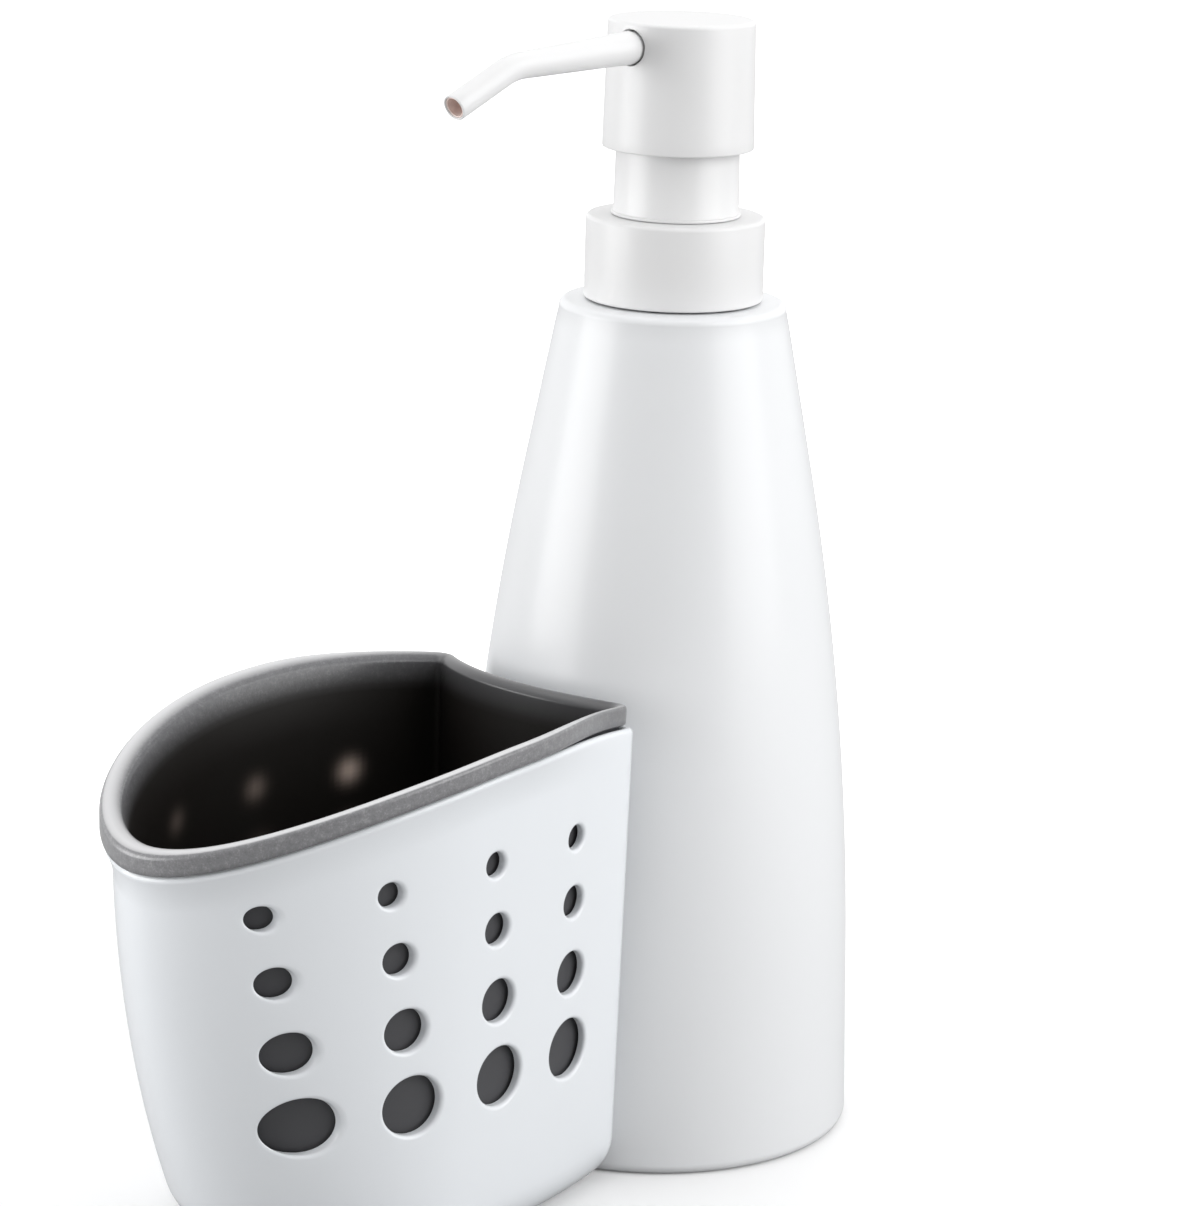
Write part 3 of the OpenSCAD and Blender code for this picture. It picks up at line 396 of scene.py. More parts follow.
def upright_bar(name, outline, z_low, z_high, material, rounding=0.3):
    """A straight upright moulding from its plan, with softened edges."""
    n = len(outline)
    points = [(x, y, z_low) for x, y in outline] + [(x, y, z_high) for x, y in outline]
    sides = [(i, (i + 1) % n, n + (i + 1) % n, n + i) for i in range(n)]
    piece = new_piece(name, points, [tuple(range(n)), tuple(range(n, 2 * n))] + sides)
    work = bmesh.new()
    work.from_mesh(piece.data)
    bmesh.ops.recalc_face_normals(work, faces=work.faces)
    bmesh.ops.bevel(work, geom=work.edges[:], offset=rounding * MM, segments=3, affect="EDGES", profile=0.5)
    work.to_mesh(piece.data)
    work.free()
    piece.data.materials.append(material)
    tidy_mesh(piece)
    return piece


web_in = bottle_r(KEEPER_Z + KEEPER_H) - 0.3
head_in = keeper_out - KEEPER_T
keeper_side = [(-web_in, KEEPER_WEB_W / 2), (-head_in, KEEPER_WEB_W / 2), (-head_in, KEEPER_W / 2),
               (-keeper_out, KEEPER_W / 2)]
keeper_plan = keeper_side + [(x, -y) for x, y in reversed(keeper_side)]
bottle_keeper = upright_bar("bottle_keeper", keeper_plan, KEEPER_Z, KEEPER_Z + KEEPER_H, bottle_white)
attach(bottle_keeper, "bottle")

# The pump's inside and the threaded closure.
# These are the pieces that the bottle, sleeve, collar and head hide: moulded in natural plastic, with a steel
# spring and ball and a soft gasket. Their CAD shapes stay as they are.
natural_plastic = plastic("natural plastic", (0.72, 0.74, 0.72), (0.66, 0.68, 0.66), 0.34, 0.12, 700, 0.12,
                          fixed={"Subsurface Weight": 0.15, "Subsurface Radius": (0.004, 0.004, 0.004)})
tube_plastic = plastic("milky tube plastic", (0.70, 0.74, 0.74), (0.62, 0.67, 0.68), 0.22, 0.1, 500, 0.08,
                       fixed={"Subsurface Weight": 0.2, "Subsurface Radius": (0.004, 0.004, 0.004)})
soft_gasket = plastic("soft gasket", (0.045, 0.045, 0.05), (0.03, 0.03, 0.033), 0.62, 0.15, 1200, 0.3)


def ranged(tree, value, given, wanted=(0.0, 1.0)):
    """A value moved from one range to another."""
    feeds = {"Value": value, "From Min": given[0], "From Max": given[1], "To Min": wanted[0],
             "To Max": wanted[1]}
    return put(tree, "ShaderNodeMapRange", feeds).outputs[0]


def steel(name, colour, roughness, marks_scale):
    """Steel with fine marks, which are long where their scale differs from one direction to another."""
    material, tree, shader = new_material(name, {"Metallic": 1.0})
    place = put(tree, "ShaderNodeTexCoord").outputs["Object"]
    place = put(tree, "ShaderNodeMapping", {"Vector": place, "Scale": marks_scale}).outputs[0]
    marks = noise(tree, place, 1.0, 4.0)
    dark = [c * 0.78 for c in colour]
    bump = put(tree, "ShaderNodeBump", {"Height": marks, "Strength": 0.15, "Distance": 0.00003})
    wire(tree, shader, {"Base Color": mixed(tree, marks, (*colour, 1), (*dark, 1)),
                        "Roughness": ranged(tree, marks, (0.0, 1.0), (roughness * 0.8, roughness * 1.3)),
                        "Normal": bump.outputs[0]})
    return material


spring_wire = steel("drawn spring wire", (0.55, 0.56, 0.58), 0.3, (300, 300, 2600))
ball_polish = steel("polished ball", (0.68, 0.69, 0.70), 0.1, (400, 400, 400))
hidden_finish = {
    "closure": natural_plastic, "neck_gasket": soft_gasket, "stem_seal": tube_plastic,
    "housing": natural_plastic, "ball_cage": natural_plastic, "inlet_ball": ball_polish,
    "return_spring": spring_wire, "spring_cap": natural_plastic, "valve_plug": natural_plastic,
    "piston": tube_plastic, "stem": natural_plastic, "dip_tube": tube_plastic, "head_core": natural_plastic}
for node_name, finish in hidden_finish.items():
    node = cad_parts[node_name]
    if node.material_slots:
        for holder in node.material_slots:
            holder.material = finish
    else:
        node.data.materials.append(finish)

# The return spring.
# Drawn steel wire, wound. It shortens between its seat and its cap as the head is pressed down.
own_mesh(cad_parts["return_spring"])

# The collar.
# A plain white band with a softly rounded top edge, pressed over the threaded closure.
COLLAR_R, COLLAR_Z, COLLAR_TOP_Z, COLLAR_WALL, PASSAGE_R = 19.0, 181.7, 199.4, 1.5, 9.4
COLLAR_TOP_ROUND, COLLAR_FOOT_ROUND = 0.9, 0.5
pump_white = plastic("pump white", (0.80, 0.80, 0.80), (0.78, 0.78, 0.785), 0.34, 0.06, 1100, 0.06,
                     fixed={"IOR": 1.49})
collar_in, collar_under = COLLAR_R - COLLAR_WALL, COLLAR_TOP_Z - COLLAR_WALL
collar_profile = (
    corner(PASSAGE_R, collar_under, 0.2, 180, 270, 3)
    + corner(collar_in, collar_under, EDGE_ROUND, 90, 0, 3)
    + corner(collar_in, COLLAR_Z, EDGE_ROUND, 180, 270, 3)
    + corner(COLLAR_R, COLLAR_Z, COLLAR_FOOT_ROUND, -90, 0, 5)
    + corner(COLLAR_R, COLLAR_TOP_Z, COLLAR_TOP_ROUND, 0, 90, 8)
    + corner(PASSAGE_R, COLLAR_TOP_Z, EDGE_ROUND, 90, 180, 4))
collar_band = turned("collar_band", collar_profile + collar_profile[:1], pump_white)
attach(collar_band, "collar")
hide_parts("collar_shell")

# The neck sleeve.
# The white tube that the head slides over. It has a thin flange on the collar, and its spigot is clipped
# into the pump's housing below.
SLEEVE_R, SLEEVE_Z, SLEEVE_TOP_Z, SLEEVE_WALL = 13.3, 199.5, 214.9, 1.3
STEM_R, SPIGOT_R, COUNTER_Z = 3.9, 9.35, 191.55
SEAL_SEAT_W, GUIDE_H, STEP_H = 1.95, 5.13, 1.82
flange_r, flange_top = SLEEVE_R + SLEEVE_WALL / 3, SLEEVE_Z + SLEEVE_WALL / 2
sleeve_top_r = SLEEVE_R - SLEEVE_WALL / 5
seat_r, seat_z = STEM_R + SEAL_SEAT_W, SLEEVE_TOP_Z - SLEEVE_WALL
guide_r, foot_hole_r = STEM_R + 0.05, STEM_R + 0.1
spigot_in, step_z, counter_top = SPIGOT_R - SLEEVE_WALL, SLEEVE_Z + STEP_H, COUNTER_Z + SLEEVE_WALL
sleeve_profile = (
    [(foot_hole_r, COUNTER_Z), (SPIGOT_R - EDGE_ROUND, COUNTER_Z), (SPIGOT_R, COUNTER_Z + EDGE_ROUND)]
    + [(SPIGOT_R, SLEEVE_Z)]
    + corner(flange_r, SLEEVE_Z, 0.2, -90, 0, 3)
    + corner(flange_r, flange_top, 0.25, 0, 90, 4)
    + corner(SLEEVE_R, flange_top, 0.2, 270, 180, 3)
    + corner(sleeve_top_r, SLEEVE_TOP_Z, 0.6, 0, 90, 6)
    + [(seat_r, SLEEVE_TOP_Z), (seat_r, seat_z), (guide_r, seat_z), (guide_r, seat_z - GUIDE_H)]
    + [(STEM_R + SLEEVE_WALL, seat_z - GUIDE_H), (STEM_R + SLEEVE_WALL, seat_z - SLEEVE_WALL)]
    + [(sleeve_top_r - SLEEVE_WALL, seat_z - SLEEVE_WALL), (SLEEVE_R - SLEEVE_WALL, step_z)]
    + [(spigot_in, step_z), (spigot_in, counter_top), (foot_hole_r, counter_top), (foot_hole_r, COUNTER_Z)])
neck_sleeve = turned("neck_sleeve", sleeve_profile, pump_white)
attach(neck_sleeve, "pump_body")
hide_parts("chaplet")

# The head.
# A white cylinder, open below and closed by a flat, slightly crowned top. A round hole near the top, a little
# wider than the spout, is cut by the same Geometry Nodes tree that perforates the caddy.
HEAD_Z, HEAD_TOP_Z, HEAD_FOOT_R, HEAD_TOP_R, HEAD_WALL = 213.6, 240.6, 16.0, 15.5, 1.2
HEAD_ROUND, HEAD_FOOT_ROUND, HEAD_STEPS = 0.8, 0.4, 12
SPOUT_Z, SPOUT_FALL, SPOUT_HOLE_R, SPOUT_HOLE_ROUND = 236.2, radians(2.7), 3.75, 0.25


def stored(tree, geometry, kind, name, value):
    """The geometry, with a value kept on its points."""
    feeds = {"Geometry": geometry, "Name": name, "Value": value}
    return put(tree, "GeometryNodeStoreNamedAttribute", feeds, data_type=kind, domain="POINT").outputs[0]


def perforate_tree():
    """Cuts round holes with softened outer edges through a wall, following the wall's own curve."""
    tree, sizes, out = new_group("perforation", "GeometryNodeTree", [
        ("Wall", "NodeSocketGeometry", None), ("Holes", "NodeSocketObject", None),
        ("Section", "NodeSocketObject", None), ("Sides", "NodeSocketInt", 64),
        ("Probe length", "NodeSocketFloat", 0.012), ("Material", "NodeSocketMaterial", None)],
        [("Geometry", "NodeSocketGeometry")])
    wall, length = sizes["Wall"], sizes["Probe length"]
    holes = put(tree, "GeometryNodeObjectInfo", {"Object": sizes["Holes"]}).outputs["Geometry"]
    section = put(tree, "GeometryNodeObjectInfo", {"Object": sizes["Section"]}).outputs["Geometry"]
    place = put(tree, "GeometryNodeInputPosition").outputs[0]
    points = stored(tree, holes, "FLOAT_VECTOR", "centre", place)
    grid, level, column = ring_grid(tree, section, sizes["Sides"])
    turn = calc(tree, "MULTIPLY", column, calc(tree, "DIVIDE", 2 * pi, sizes["Sides"]))
    cutter = stored(tree, grid, "FLOAT", "turn", turn)
    offset = sampled(tree, "FLOAT_VECTOR", section, place, level)
    cutter = stored(tree, cutter, "FLOAT_VECTOR", "section", offset)
    copies = put(tree, "GeometryNodeInstanceOnPoints", {"Points": points, "Instance": cutter})
    real = put(tree, "GeometryNodeRealizeInstances", {"Geometry": copies.outputs[0]}).outputs[0]
    aim = named(tree, "FLOAT_VECTOR", "aim")
    part = put(tree, "ShaderNodeSeparateXYZ", {0: named(tree, "FLOAT_VECTOR", "section")}).outputs
    own = calc(tree, "MULTIPLY", part["Y"], named(tree, "FLOAT", "hole_r"))
    radius = calc(tree, "ADD", calc(tree, "MULTIPLY", own, 1.0 / MM), part["X"])
    across = vec(tree, "NORMALIZE", vec(tree, "CROSS_PRODUCT", (0.0, 0.0, 1.0), aim))
    upward = vec(tree, "CROSS_PRODUCT", aim, across)
    turn_now = named(tree, "FLOAT", "turn")
    side = vec(tree, "SCALE", across, scale=calc(tree, "COSINE", turn_now))
    rise = vec(tree, "SCALE", upward, scale=calc(tree, "SINE", turn_now))
    reach = vec(tree, "SCALE", vec(tree, "ADD", side, rise), scale=radius)
    spot = vec(tree, "ADD", named(tree, "FLOAT_VECTOR", "centre"), reach)
    start = vec(tree, "ADD", spot, vec(tree, "SCALE", aim, scale=length))
    probe = put(tree, "GeometryNodeRaycast", {
        "Target Geometry": wall, "Source Position": start,
        "Ray Direction": vec(tree, "SCALE", aim, scale=-1.0),
        "Ray Length": calc(tree, "MULTIPLY", length, 2.0)}).outputs
    base = put(tree, "GeometryNodeSwitch", {"Switch": probe["Is Hit"], "False": spot,
                                            "True": probe["Hit Position"]}, input_type="VECTOR").outputs[0]
    final = vec(tree, "ADD", base, vec(tree, "SCALE", aim, scale=part["Z"]))
    shaped = put(tree, "GeometryNodeSetPosition", {"Geometry": real, "Position": final}).outputs[0]
    cutters = put(tree, "GeometryNodeMergeByDistance", {"Geometry": shaped, "Distance": 2e-6}).outputs[0]
    cut = put(tree, "GeometryNodeMeshBoolean", {"Mesh 1": wall, "Mesh 2": cutters}, operation="DIFFERENCE",
              solver="EXACT")
    finish_tree(tree, out, cut.outputs["Mesh"], sizes["Material"])
    return tree


perforation = perforate_tree()


def perforate(piece, centres, aims, radii, depth, rounding, material):
    """Cuts holes as deep as given. The cutter flares where it leaves the wall, which rounds the edge."""
    over, steps = 0.6, 7
    turns = [pi / 2 * i / steps for i in range(steps, -1, -1)]
    mouth = [(rounding - rounding * cos(a), 1, rounding * sin(a) - rounding) for a in turns]
    section = [(0, 0, over), (rounding, 1, over)] + mouth + [(0, 1, -depth), (0, 0, -depth)]
    tool = new_piece("cutter section", section[::-1], chained=True)
    points = new_piece("hole centres", centres, numbers={"hole_r": [r * MM for r in radii]},
                       directions={"aim": [tuple(a) for a in aims]})
    grow(piece, perforation, {"Holes": points, "Section": tool, "Sides": 64, "Material": material})
    for helper in (tool, points):
        bpy.data.objects.remove(helper)


head_in_r, head_foot_in_r = HEAD_TOP_R - HEAD_WALL, HEAD_FOOT_R - HEAD_WALL
inner_top_z = HEAD_TOP_Z - HEAD_WALL
head_slope = (HEAD_FOOT_R - HEAD_TOP_R) / HEAD_STEPS
head_rise = (HEAD_TOP_Z - HEAD_Z - 1.4) / HEAD_STEPS
head_profile = (
    [(0, inner_top_z), (head_in_r - 0.4, inner_top_z), (head_in_r, inner_top_z - 0.4)]
    + [(head_foot_in_r, HEAD_Z + EDGE_ROUND), (head_foot_in_r + EDGE_ROUND, HEAD_Z)]
    + corner(HEAD_FOOT_R, HEAD_Z, HEAD_FOOT_ROUND, -90, 0, 4)
    + [(HEAD_FOOT_R - head_slope * i, HEAD_Z + HEAD_FOOT_ROUND + head_rise * i) for i in range(1, HEAD_STEPS)]
    + corner(HEAD_TOP_R, HEAD_TOP_Z, HEAD_ROUND, 0, 88, 8)
    + [(HEAD_TOP_R * 0.6, HEAD_TOP_Z - BOX_SLACK), (0, HEAD_TOP_Z)])
pump_head = turned("pump_head", head_profile, pump_white)
spout_aim = Vector((-cos(SPOUT_FALL), 0, -sin(SPOUT_FALL)))
hole_centre = Vector((0, 0, SPOUT_Z)) + spout_aim * 15.55
perforate(pump_head, [hole_centre], [spout_aim], [SPOUT_HOLE_R], HEAD_WALL + 0.5, SPOUT_HOLE_ROUND,
          pump_white)
tidy_mesh(pump_head)
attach(pump_head, "head")
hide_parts("head_shell")

# The spout.
# A thin white tube from the head's core: a level run that narrows, one bend and a straight tail with a thin
# rounded lip. Its shoulder sits in the head's hole with a dark gap around it.
SPOUT_ROOT_R, SPOUT_TIP_R, SPOUT_BORE_R = 3.5, 2.8, 2.3
SPOUT_REACH, SPOUT_TAIL, BEND_R = 46.5, 14.5, 16.0
BEND_TURN = radians(24) - SPOUT_FALL
CORE_R, SPOUT_SHOULDER = 7.5, 15.8
run_length = SPOUT_REACH / cos(SPOUT_FALL)


def spout_station(along):
    """Place and direction of the spout's axis after a length along it."""
    start = Vector((0, 0, SPOUT_Z))
    if along <= run_length:
        return start + spout_aim * along, spout_aim
    turn = min(BEND_TURN, (along - run_length) / BEND_R)
    fall = SPOUT_FALL + turn
    below = Vector((sin(SPOUT_FALL), 0, -cos(SPOUT_FALL)))
    bend_centre = start + spout_aim * run_length + below * BEND_R
    place = bend_centre + Vector((-sin(fall), 0, cos(fall))) * BEND_R
    aim = Vector((-cos(fall), 0, -sin(fall)))
    return place + aim * max(0, along - run_length - BEND_R * turn), aim


def drawn_tube(name, stations, material, sides=64):
    """A tube of rings along the spout's axis, from closed pairs of length along it and radius."""
    spots = [spout_station(along) for along, radius in stations]
    return ringed(name, [p for p, a in spots], [tuple(a) for p, a in spots],
                  [radius for along, radius in stations], material, sides)


bend_length = BEND_R * BEND_TURN
tail_start = run_length + bend_length
tail_end = tail_start + SPOUT_TAIL
lip = (SPOUT_TIP_R - SPOUT_BORE_R) / 2
narrow = SPOUT_ROOT_R - SPOUT_TIP_R
outer_run = [(CORE_R, SPOUT_ROOT_R - 0.3)]
outer_run += [(SPOUT_SHOULDER - before, SPOUT_ROOT_R - slimmer)
              for before, slimmer in ((1.4, 0.3), (0.7, 0.25), (0.35, 0.12), (0, 0))]
outer_run += [(SPOUT_SHOULDER + (run_length - SPOUT_SHOULDER) * i / 14, SPOUT_ROOT_R - narrow * i / 14)
              for i in range(1, 14)]
outer_run += [(run_length + bend_length * i / 10, SPOUT_TIP_R) for i in range(11)]
outer_run += [(tail_start + (SPOUT_TAIL - lip) * i / 6, SPOUT_TIP_R) for i in range(1, 7)]
lip_run = [(tail_end - lip + lip * sin(a), SPOUT_BORE_R + lip + lip * cos(a))
           for a in [pi * i / 6 for i in range(1, 6)]]
bore_run = [(along, SPOUT_BORE_R) for along, radius in reversed(outer_run)]
spout_tube = drawn_tube("spout_tube", outer_run + lip_run + bore_run + outer_run[:1], pump_white)
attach(spout_tube, "head")
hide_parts("spout")

# The spout's lining.
# A thin warm-toned tube inside the spout, which shows only at the tip.
LINING_T, LINING_BACK, LINING_STEPS = 0.31, 0.35, 40
lining_plastic = plastic("warm lining", (0.90, 0.76, 0.71), (0.82, 0.66, 0.61), 0.45, 0.1, 800, 0.1)
lining_out = SPOUT_BORE_R - 0.04
lining_in = lining_out - LINING_T
lining_start, lining_mouth = CORE_R + 0.5, tail_end - LINING_BACK
lining_steps = [lining_start + (lining_mouth - lining_start) * i / LINING_STEPS
                for i in range(LINING_STEPS + 1)]
lining_run = [(along, lining_out) for along in lining_steps]
lining_run += [(lining_mouth + 0.1, (lining_in + lining_out) / 2)]
lining_run += [(along, lining_in) for along in reversed(lining_steps)] + [(lining_start, lining_out)]
spout_lining = drawn_tube("spout_lining", lining_run, lining_plastic, 48)
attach(spout_lining, "head")

# The caddy's outer shell.
# One gloss white moulding that stands on the floor: hollowed on one side to take the bottle, rounded to a
# nose on the other, with an arched lip that flares and four columns of round holes on each long wall.
NEST_GAP, CADDY_LEN, CADDY_W = 0.7, 101.0, 75.5
RIM_Z, RIM_ARCH_R, BELLY_R, BELLY_Z = 107.3, 184.0, 200.0, 87.0
SIDE_DRAFT, SIDE_BOW_R, CORNER_R, BOTTOM_ROUND = radians(1.17), 161.0, 5.6, 10.0
SHELL_WALL, LIP_FLARE, LIP_H, LIP_DROP, FLARE_LEN, BAND_MORE = 2.0, 1.8, 8.5, 4.6, 35.0, 0.2
NOSE_POWER, FLARE_POWER = 1.9, 1.7
NEST_R = FOOT_R + NEST_GAP
NOSE_S = NEST_R + CADDY_LEN
WIDEST_S = NEST_R + CADDY_LEN * 0.459
CREST_S = NEST_R + CADDY_LEN * 0.245
ARC_N, CORNER_N, BOW_N, NOSE_N = 22, 16, 32, 72
HALF_N = ARC_N + CORNER_N + BOW_N + NOSE_N


def half_width(z):
    """Half the caddy's greatest width at a height."""
    return CADDY_W / 2 - (RIM_Z - z) * tan(SIDE_DRAFT)


def nose_at(z):
    """How far the nose reaches at a height."""
    return NOSE_S - BELLY_R + sqrt(BELLY_R ** 2 - max(0.0, BELLY_Z - z) ** 2)


def rim_at(s):
    """Height of the arched rim at a place along the caddy."""
    return RIM_Z - RIM_ARCH_R + sqrt(RIM_ARCH_R ** 2 - (s - CREST_S) ** 2)


def nose_fall(s):
    """How much farther down the band and the lip lie towards the nose."""
    return BAND_MORE * max(0.0, (s - CREST_S) / (NOSE_S - CREST_S)) ** 3


def side_at(s, w, nose):
    """Half width of the outline at a place along the caddy."""
    if s <= WIDEST_S:
        return w - SIDE_BOW_R + sqrt(SIDE_BOW_R ** 2 - (WIDEST_S - s) ** 2)
    share = min(1.0, (s - WIDEST_S) / (nose - WIDEST_S))
    return w * max(0.0, 1 - share ** NOSE_POWER) ** (1 / NOSE_POWER)


def plan_point(j, off, z):
    """Point j of half the outline of a wall that is set off outwards, as (along, aside)."""
    w, nose, nest = half_width(z) + off, nose_at(z) + off, NEST_R - off
    if j > ARC_N + CORNER_N + BOW_N:
        angle = pi / 2 * (j - ARC_N - CORNER_N - BOW_N) / NOSE_N
        return (WIDEST_S + (nose - WIDEST_S) * sin(angle) ** (2 / NOSE_POWER),
                w * max(0.0, cos(angle)) ** (2 / NOSE_POWER))
    c = nest
    for step in range(8):
        c = sqrt(nest ** 2 - side_at(c, w, nose) ** 2)
    rounding = max(CORNER_R + off, CORNER_R * 0.3)
    arc_end = atan2(side_at(c, w, nose), c) - rounding / nest
    if j <= ARC_N:
        return nest * cos(arc_end * j / ARC_N), nest * sin(arc_end * j / ARC_N)
    side_s = c + rounding
    if j > ARC_N + CORNER_N:
        s = side_s + (WIDEST_S - side_s) * (j - ARC_N - CORNER_N) / BOW_N
        return s, side_at(s, w, nose)
    ax, ay = nest * cos(arc_end), nest * sin(arc_end)
    bx, by = side_s, side_at(side_s, w, nose)
    slope = (WIDEST_S - side_s) / sqrt(SIDE_BOW_R ** 2 - (WIDEST_S - side_s) ** 2)
    tx, ty = -sin(arc_end), cos(arc_end)
    reach = ((bx - ax) * slope - (by - ay)) / (tx * slope - ty)
    cx, cy = ax + tx * reach, ay + ty * reach
    t = (j - ARC_N) / CORNER_N
    return (ax * (1 - t) ** 2 + cx * 2 * t * (1 - t) + bx * t * t,
            ay * (1 - t) ** 2 + cy * 2 * t * (1 - t) + by * t * t)


def wall_ring(off, near, rise, share, fall):
    """A ring round the caddy: near is the set-off beside the bottle, share how far it follows the rim's arch,
    and fall how far it follows the band down at the nose."""
    half = []
    for j in range(HALF_N + 1):
        guess = plan_point(j, off, rise + share * RIM_Z)
        z = rise + share * rim_at(guess[0]) - fall * nose_fall(guess[0])
        s, l = plan_point(j, off, z)
        if near != off:
            far = min(1.0, max(0.0, (guess[0] - NEST_R) / FLARE_LEN))
            mix = far * far * (3 - 2 * far)
            s2, l2 = plan_point(j, near, z)
            s, l = s2 + (s - s2) * mix, l2 + (l - l2) * mix
        half.append((-s, l, rise + share * rim_at(s) - fall * nose_fall(s)))
    return half + [(x, -y, z) for x, y, z in half[-2:0:-1]]


def lofted(name, rings, numbers=None):
    """A closed skin over rings, with a flat fan at each end."""
    n, m = len(rings[0]), len(rings)
    points = [p for ring in rings for p in ring]
    points += [(-WIDEST_S, 0, rings[0][0][2]), (-WIDEST_S, 0, rings[-1][0][2])]
    faces = [(k * n + j, k * n + (j + 1) % n, (k + 1) * n + (j + 1) % n, (k + 1) * n + j)
             for k in range(m - 1) for j in range(n)]
    faces += [(m * n, (j + 1) % n, j) for j in range(n)]
    faces += [(m * n + 1, (m - 1) * n + j, (m - 1) * n + (j + 1) % n) for j in range(n)]
    return new_piece(name, points, faces, numbers=numbers)


def fillet_rings(off, radius, z, start, stop, steps):
    """Rings of the rounded edge between a wall at off and a floor at z, with angles in degrees."""
    turns = [radians(start + (stop - start) * i / steps) for i in range(steps + 1)]
    offs = [off - radius * (1 - cos(a)) for a in turns]
    return [(set_off, set_off, z + radius * (1 - sin(a)), 0.0, 0.0) for set_off, a in zip(offs, turns)]


def climb_rings(off, low, high, steps, fall=1.0):
    """Rings of a plain wall from a flat height up to a height below the arched rim."""
    return [(off, off, low * (1 - i / steps) + high * i / steps, i / steps, fall * i / steps)
            for i in range(1, steps + 1)]


def flare_rings(off, span, steps):
    """Rings of a wall at off that flares out towards the lip, from the flare's foot up through a span."""
    return [(off + LIP_FLARE * (i / steps) ** FLARE_POWER, off, flare_foot + span * i / steps, 1.0, 1.0)
            for i in range(1, steps + 1)]


lip_top = -LIP_DROP
flare_foot = lip_top - LIP_H
half_wall = SHELL_WALL / 2
shell_rings = fillet_rings(0.0, BOTTOM_ROUND, 0.0, 90, 0, 10)
shell_rings += climb_rings(0.0, BOTTOM_ROUND, flare_foot, 44)
shell_rings += flare_rings(0.0, LIP_H - half_wall, 14)
for angle in [pi * i / 10 for i in range(1, 10)]:
    inwards, level = half_wall * (cos(angle) - 1), lip_top + half_wall * (sin(angle) - 1)
    shell_rings.append((LIP_FLARE + inwards, inwards, level, 1.0, 1.0))
shell_rings += reversed(flare_rings(-SHELL_WALL, LIP_H - half_wall, 14))
shell_rings += reversed(climb_rings(-SHELL_WALL, BOTTOM_ROUND, flare_foot, 30))
shell_rings += fillet_rings(-SHELL_WALL, BOTTOM_ROUND - SHELL_WALL, SHELL_WALL, 0, 90, 8)
caddy_outer = lofted("caddy_outer", [wall_ring(*ring) for ring in shell_rings])
tidy_mesh(caddy_outer)

ROW_Z = [82.8, 69.0, 53.6, 37.2]
HOLE_D = [5.2, 6.7, 9.1, 12.6]
HOLE_PITCH = [25.7, 24.6, 23.5, 22.4]
HOLE_ROUND, PITCH_STEPS = 0.9, 8
COLUMN_START, ROW_CREST_S, ROW_ARCH_R = 15.3, NEST_R + 33.0, 350.0
caddy_white = plastic("caddy gloss white", (0.80, 0.825, 0.853), (0.775, 0.80, 0.828), 0.22,
                      fixed={"Coat Weight": 0.15, "Coat Roughness": 0.15, "IOR": 1.49})
hole_centres, hole_aims, hole_radii, hole_places = [], [], [], []
for row in range(4):
    w, nose, stride = half_width(ROW_Z[row]), nose_at(ROW_Z[row]), HOLE_PITCH[row] / PITCH_STEPS
    s = NEST_R + COLUMN_START
    for column in range(4):
        z = ROW_Z[row] - ROW_ARCH_R + sqrt(ROW_ARCH_R ** 2 - (s - ROW_CREST_S) ** 2)
        aside = side_at(s, half_width(z), nose_at(z))
        for hand in (1, -1):
            hole_centres.append((-s, aside * hand, z))
            hole_aims.append((0, hand, 0))
            hole_radii.append(HOLE_D[row] / 2)
            hole_places.append((row, column))
        for step in range(PITCH_STEPS):
            rise = (side_at(s + stride, w, nose) - side_at(s, w, nose)) / stride
            s += stride / sqrt(1 + rise * rise)
perforate(caddy_outer, hole_centres, hole_aims, hole_radii, SHELL_WALL * 2, HOLE_ROUND, caddy_white)
tidy_mesh(caddy_outer)
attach(caddy_outer, "caddy")
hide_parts("caddy_shell")

# The caddy's hooks.
# Two small moulded hooks on the hollow side, which slide down over the bottle's keeper.
HOOK_DROP = 0.1
cheek_y, finger_y = KEEPER_W / 2 + KEEPER_PLAY, KEEPER_WEB_W / 2 + KEEPER_PLAY
hook_wall_x = sqrt(NEST_R ** 2 - cheek_y ** 2) + half_wall
hook_low = KEEPER_Z - HOOK_DROP
hook_side = [(hook_wall_x, cheek_y), (hook_wall_x, cheek_y + HOOK_T), (hook_in, cheek_y + HOOK_T),
             (hook_in, finger_y), (hook_in + HOOK_T, finger_y), (hook_in + HOOK_T, cheek_y)]
for hand, hook_name in ((1, "caddy_hook_left"), (-1, "caddy_hook_right")):
    hook_plan = [(-x, y * hand) for x, y in hook_side]
    caddy_hook = upright_bar(hook_name, hook_plan, hook_low, hook_low + KEEPER_H, caddy_white, 0.2)
    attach(caddy_hook, "caddy")

# The liner.
# A deep grey cup that lifts out of the shell. Its rim slopes inwards and has an outer band that hangs over
# the shell's lip, all blasted to a fine speckle. Its interior is painted near black as shade, with faint
# spots of painted light behind the shell's holes standing in for daylight that comes through. Parts of the
# rim are painted darker as shade, and its upward faces are painted lighter as a highlight.
LINER_GAP, LINER_WALL, FOOT_GAP = 0.7, 1.8, 0.3
RIM_OVER, RIM_IN, RIM_W, RIM_TILT, RIM_EDGE, RIM_ROUND = 2.5, 1.3, 4.4, radians(45), 0.8, 0.7
BAND_H, BAND_GAP, BAND_T, BAND_ROUND = 4.2, 0.4, 1.3, 0.8
SLOPE_SHARES = [(0.07, 0.02), (0.13, 0.045), (0.2, 0.08), (0.3, 0.135), (0.4, 0.2), (0.5, 0.275),
                (0.6, 0.36), (0.7, 0.46), (0.8, 0.58), (0.9, 0.73), (0.97, 0.87), (1.0, 1.0)]
